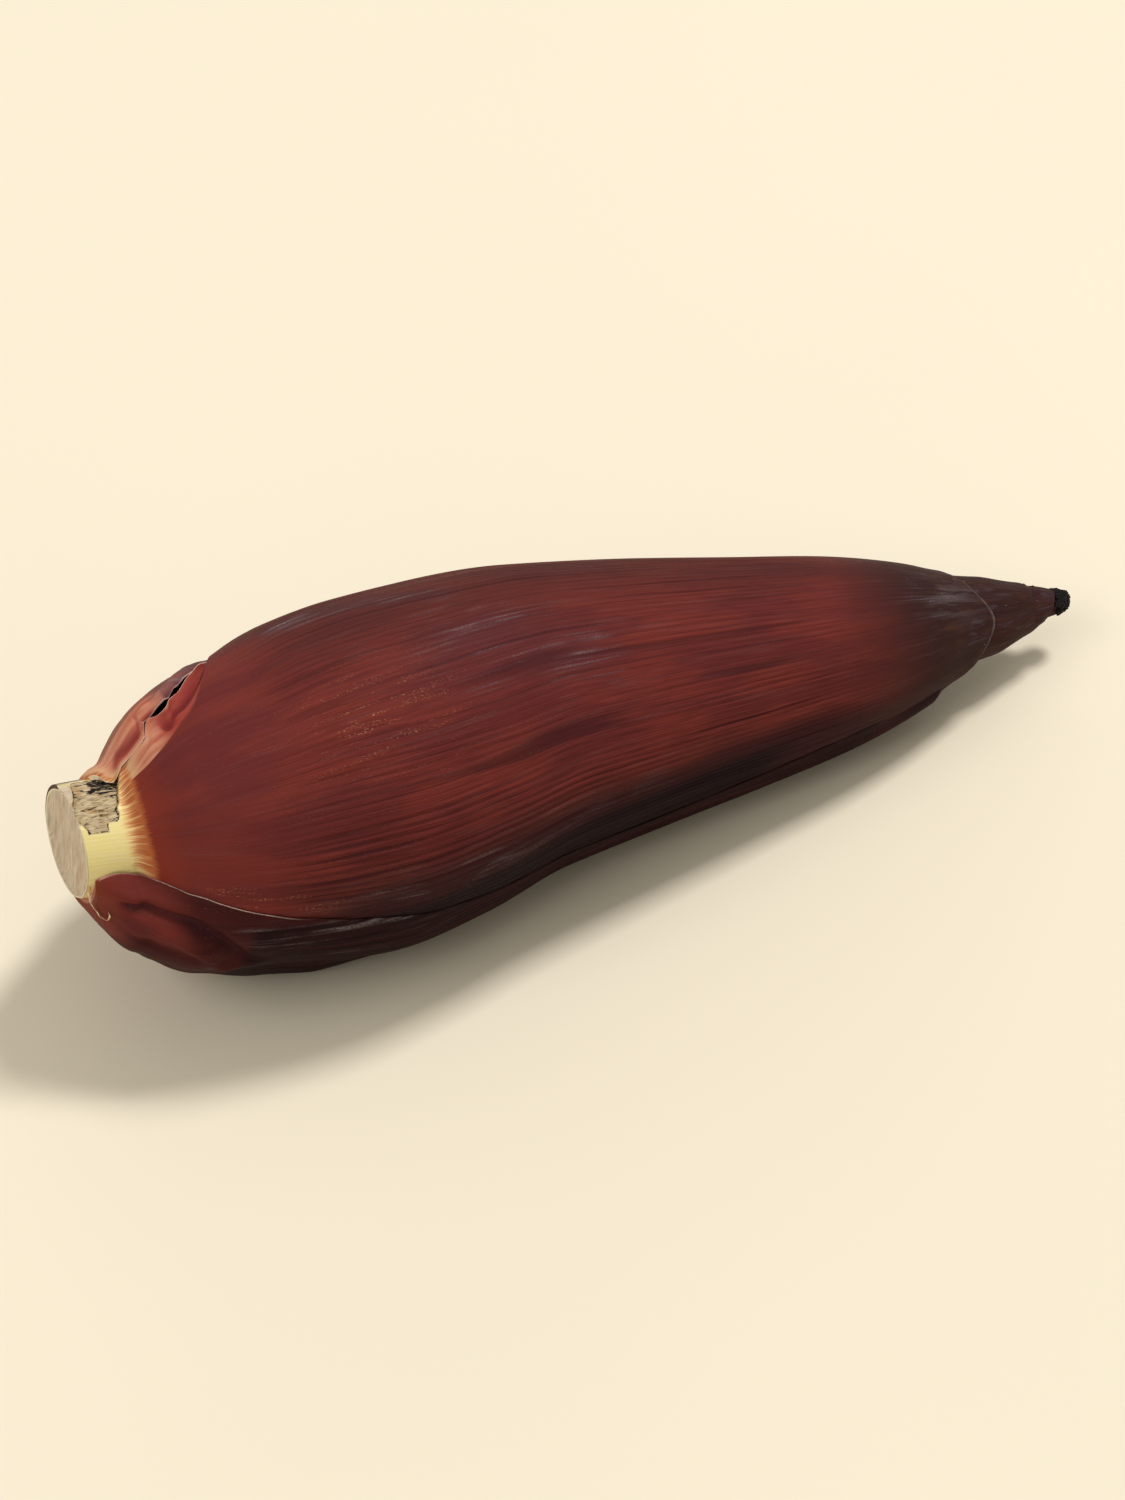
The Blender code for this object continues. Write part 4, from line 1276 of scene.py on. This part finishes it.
def make_hand(name, node, middle, spacing, count, route, pad, look):
    """A row of florets along the route of (s, radius), on a pad given as its first s, last s and height."""
    radius_at = curve_through(route)
    start, end = route[0][0], route[-1][0]
    half = (count - 1) / 2 * spacing
    share = np.linspace(0, 1, 26)
    pieces, labels = [], []
    for i in range(count):
        # Neighbours differ in length, and each sways a little.
        reach = end - 3.0 * (i % 2) - 0.75 * ((i * 7) % 3)
        s = start + (reach - start) * share
        phi = middle - half + i * spacing + 0.7 * np.sin(share * 5 + i * 1.7)
        pieces.append(tube(place(s, phi, radius_at(s)), floret_radius(share) * 0.97, sides=FLORET_SIDES))
        lengthwise = np.append(np.repeat(share, FLORET_SIDES), [0, 1])
        around = np.append(np.tile(np.arange(FLORET_SIDES) / 2.0, len(share)), [0, 0])
        labels.append(vectors(around, lengthwise, around + 7.3 * i, 0))
    rows, columns = PAD_ROWS, PAD_COLUMNS
    s = np.linspace(pad[0], pad[1], rows)[:, None] + np.zeros((1, columns))
    phi = np.linspace(middle - half - PAD_MARGIN, middle + half + PAD_MARGIN, columns)[None, :] + 0 * s
    to_end = np.minimum(phi - phi[0, 0], phi[0, -1] - phi)
    swell = np.sin(np.linspace(0.25, np.pi - 0.25, rows))[:, None] * ease(to_end / 3 + 0.2)
    root = stalk_radius(s) + 0.2
    skins = [place(s, phi, root + pad[2] * swell * 0.98), place(s, phi, root - 0.4)]
    points = np.concatenate([skin.reshape(-1, 3) for skin in skins])
    pieces.append((points, sheet_faces(rows, columns, np.arange(rows), np.arange(columns))))
    labels.append(vectors(np.zeros(len(points)), 0, np.tile(phi.ravel(), 2) * 0.4, 0))
    made = add_piece(name, *joined(pieces), look, "floret", {"bud": np.concatenate(labels)})
    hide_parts(node)


def make_hands():
    look = floret_look()
    under = [(8, 16.5), (14, 21.5), (21, 29), (30, 36), (45, 42.4), (60, 45.6), (66, 46.2)]
    make_hand("florets_under", "floret_hand_1_under", UNDER_MIDDLE, 7.4, 9, under, (6.5, 10.5, 3.0), look)
    front = [(20, 15), (28, 23), (40, 31), (55, 35.8), (70, 38.6), (78, 39.4)]
    make_hand("florets_front", "floret_hand_2_front", 38.0, 9.0, 8, front, (20, 24, 3.5), look)
    back = [(20, 15), (28, 22), (40, 29), (55, 33.4), (70, 36.4), (78, 37.2)]
    make_hand("florets_back", "floret_hand_3_back", 178.0, 9.0, 9, back, (20, 24, 3.5), look)


# The floor, the light and the camera.

FLOOR_HALF = 6.0
SKY_COLOUR, SKY_STRENGTH = (1.0, 0.955, 0.84, 1), 0.42
LIGHT_TARGET = (0, 0, 0.04)
LIGHTS = [  # name, azimuth, elevation, distance, width and height in metres, watts, colour
    ("key_light", 104, 64, 4.0, (0.8, 0.8), 100, (1.0, 0.98, 0.975)),
    ("back_light", 160, 24, 2.6, (1.8, 0.5), 5, (0.93, 0.95, 1.0)),
    ("fill_light", -76, 46, 3.2, (2.2, 1.6), 34, (1.0, 0.98, 0.95)),
]
CAMERA_AZIMUTH, CAMERA_ELEVATION, CAMERA_DISTANCE = -26.71, 45.0, 0.9570
CAMERA_TARGET = (-0.0098, 0.0, 0.0264)
LENS, SENSOR_WIDTH = 85.0, 36.0


def direction(azimuth, elevation):
    """The unit vector towards a point seen at that azimuth (0 is the front) and elevation."""
    turn, rising = math.radians(azimuth), math.radians(elevation)
    return np.array([math.sin(turn) * math.cos(rising), -math.cos(turn) * math.cos(rising), math.sin(rising)])


def aim(made, target):
    away = np.array(made.location) - np.array(target)
    made.rotation_euler = mathutils.Vector(away).to_track_quat("Z", "Y").to_euler()


def add_light(name, azimuth, elevation, distance, size, power, colour):
    lamp = bpy.data.lights.new(name, "AREA")
    lamp.shape, lamp.size, lamp.size_y = "RECTANGLE", size[0], size[1]
    lamp.energy, lamp.color = power, colour
    made = placed(name, lamp)
    made.location = direction(azimuth, elevation) * distance
    aim(made, LIGHT_TARGET)


def make_stage():
    look = Look("floor_cream", "Object")
    mottle = look.noise((3.0, 3.0, 3.0), 2.0)
    cream = look.mix(mottle.ramp(0.3, 0.7), FLOOR_CREAM, tuple(0.985 * c for c in FLOOR_CREAM))
    mesh = bpy.data.meshes.new("floor")
    corners = [(FLOOR_HALF * x, FLOOR_HALF * y, 0) for x, y in ((-1, -1), (1, -1), (1, 1), (-1, 1))]
    mesh.from_pydata(corners, [], [(0, 1, 2, 3)])
    mesh.materials.append(look.finish(Base_Color=cream, Roughness=0.9, Specular_IOR_Level=0.1))
    floor = placed("floor", mesh)

    world = bpy.data.worlds.new("studio")
    world.use_nodes = True
    sky = world.node_tree.nodes["Background"]
    sky.inputs["Color"].default_value = SKY_COLOUR
    sky.inputs["Strength"].default_value = SKY_STRENGTH
    bpy.context.scene.world = world
    for light in LIGHTS:
        add_light(*light)

    lens = bpy.data.cameras.new("camera")
    lens.lens, lens.sensor_width = LENS, SENSOR_WIDTH
    lens.clip_start, lens.clip_end = 0.05, 50.0
    camera = placed("camera", lens)
    target = np.array(CAMERA_TARGET)
    camera.location = target + direction(CAMERA_AZIMUTH, CAMERA_ELEVATION) * CAMERA_DISTANCE
    aim(camera, target)
    bpy.context.scene.camera = camera
    bpy.context.scene.view_settings.view_transform = "Standard"


make_stage()
heart_skin = make_bracts()
make_stalk()
make_heart(heart_skin)
make_tip()
make_torn_strip()
make_hands()
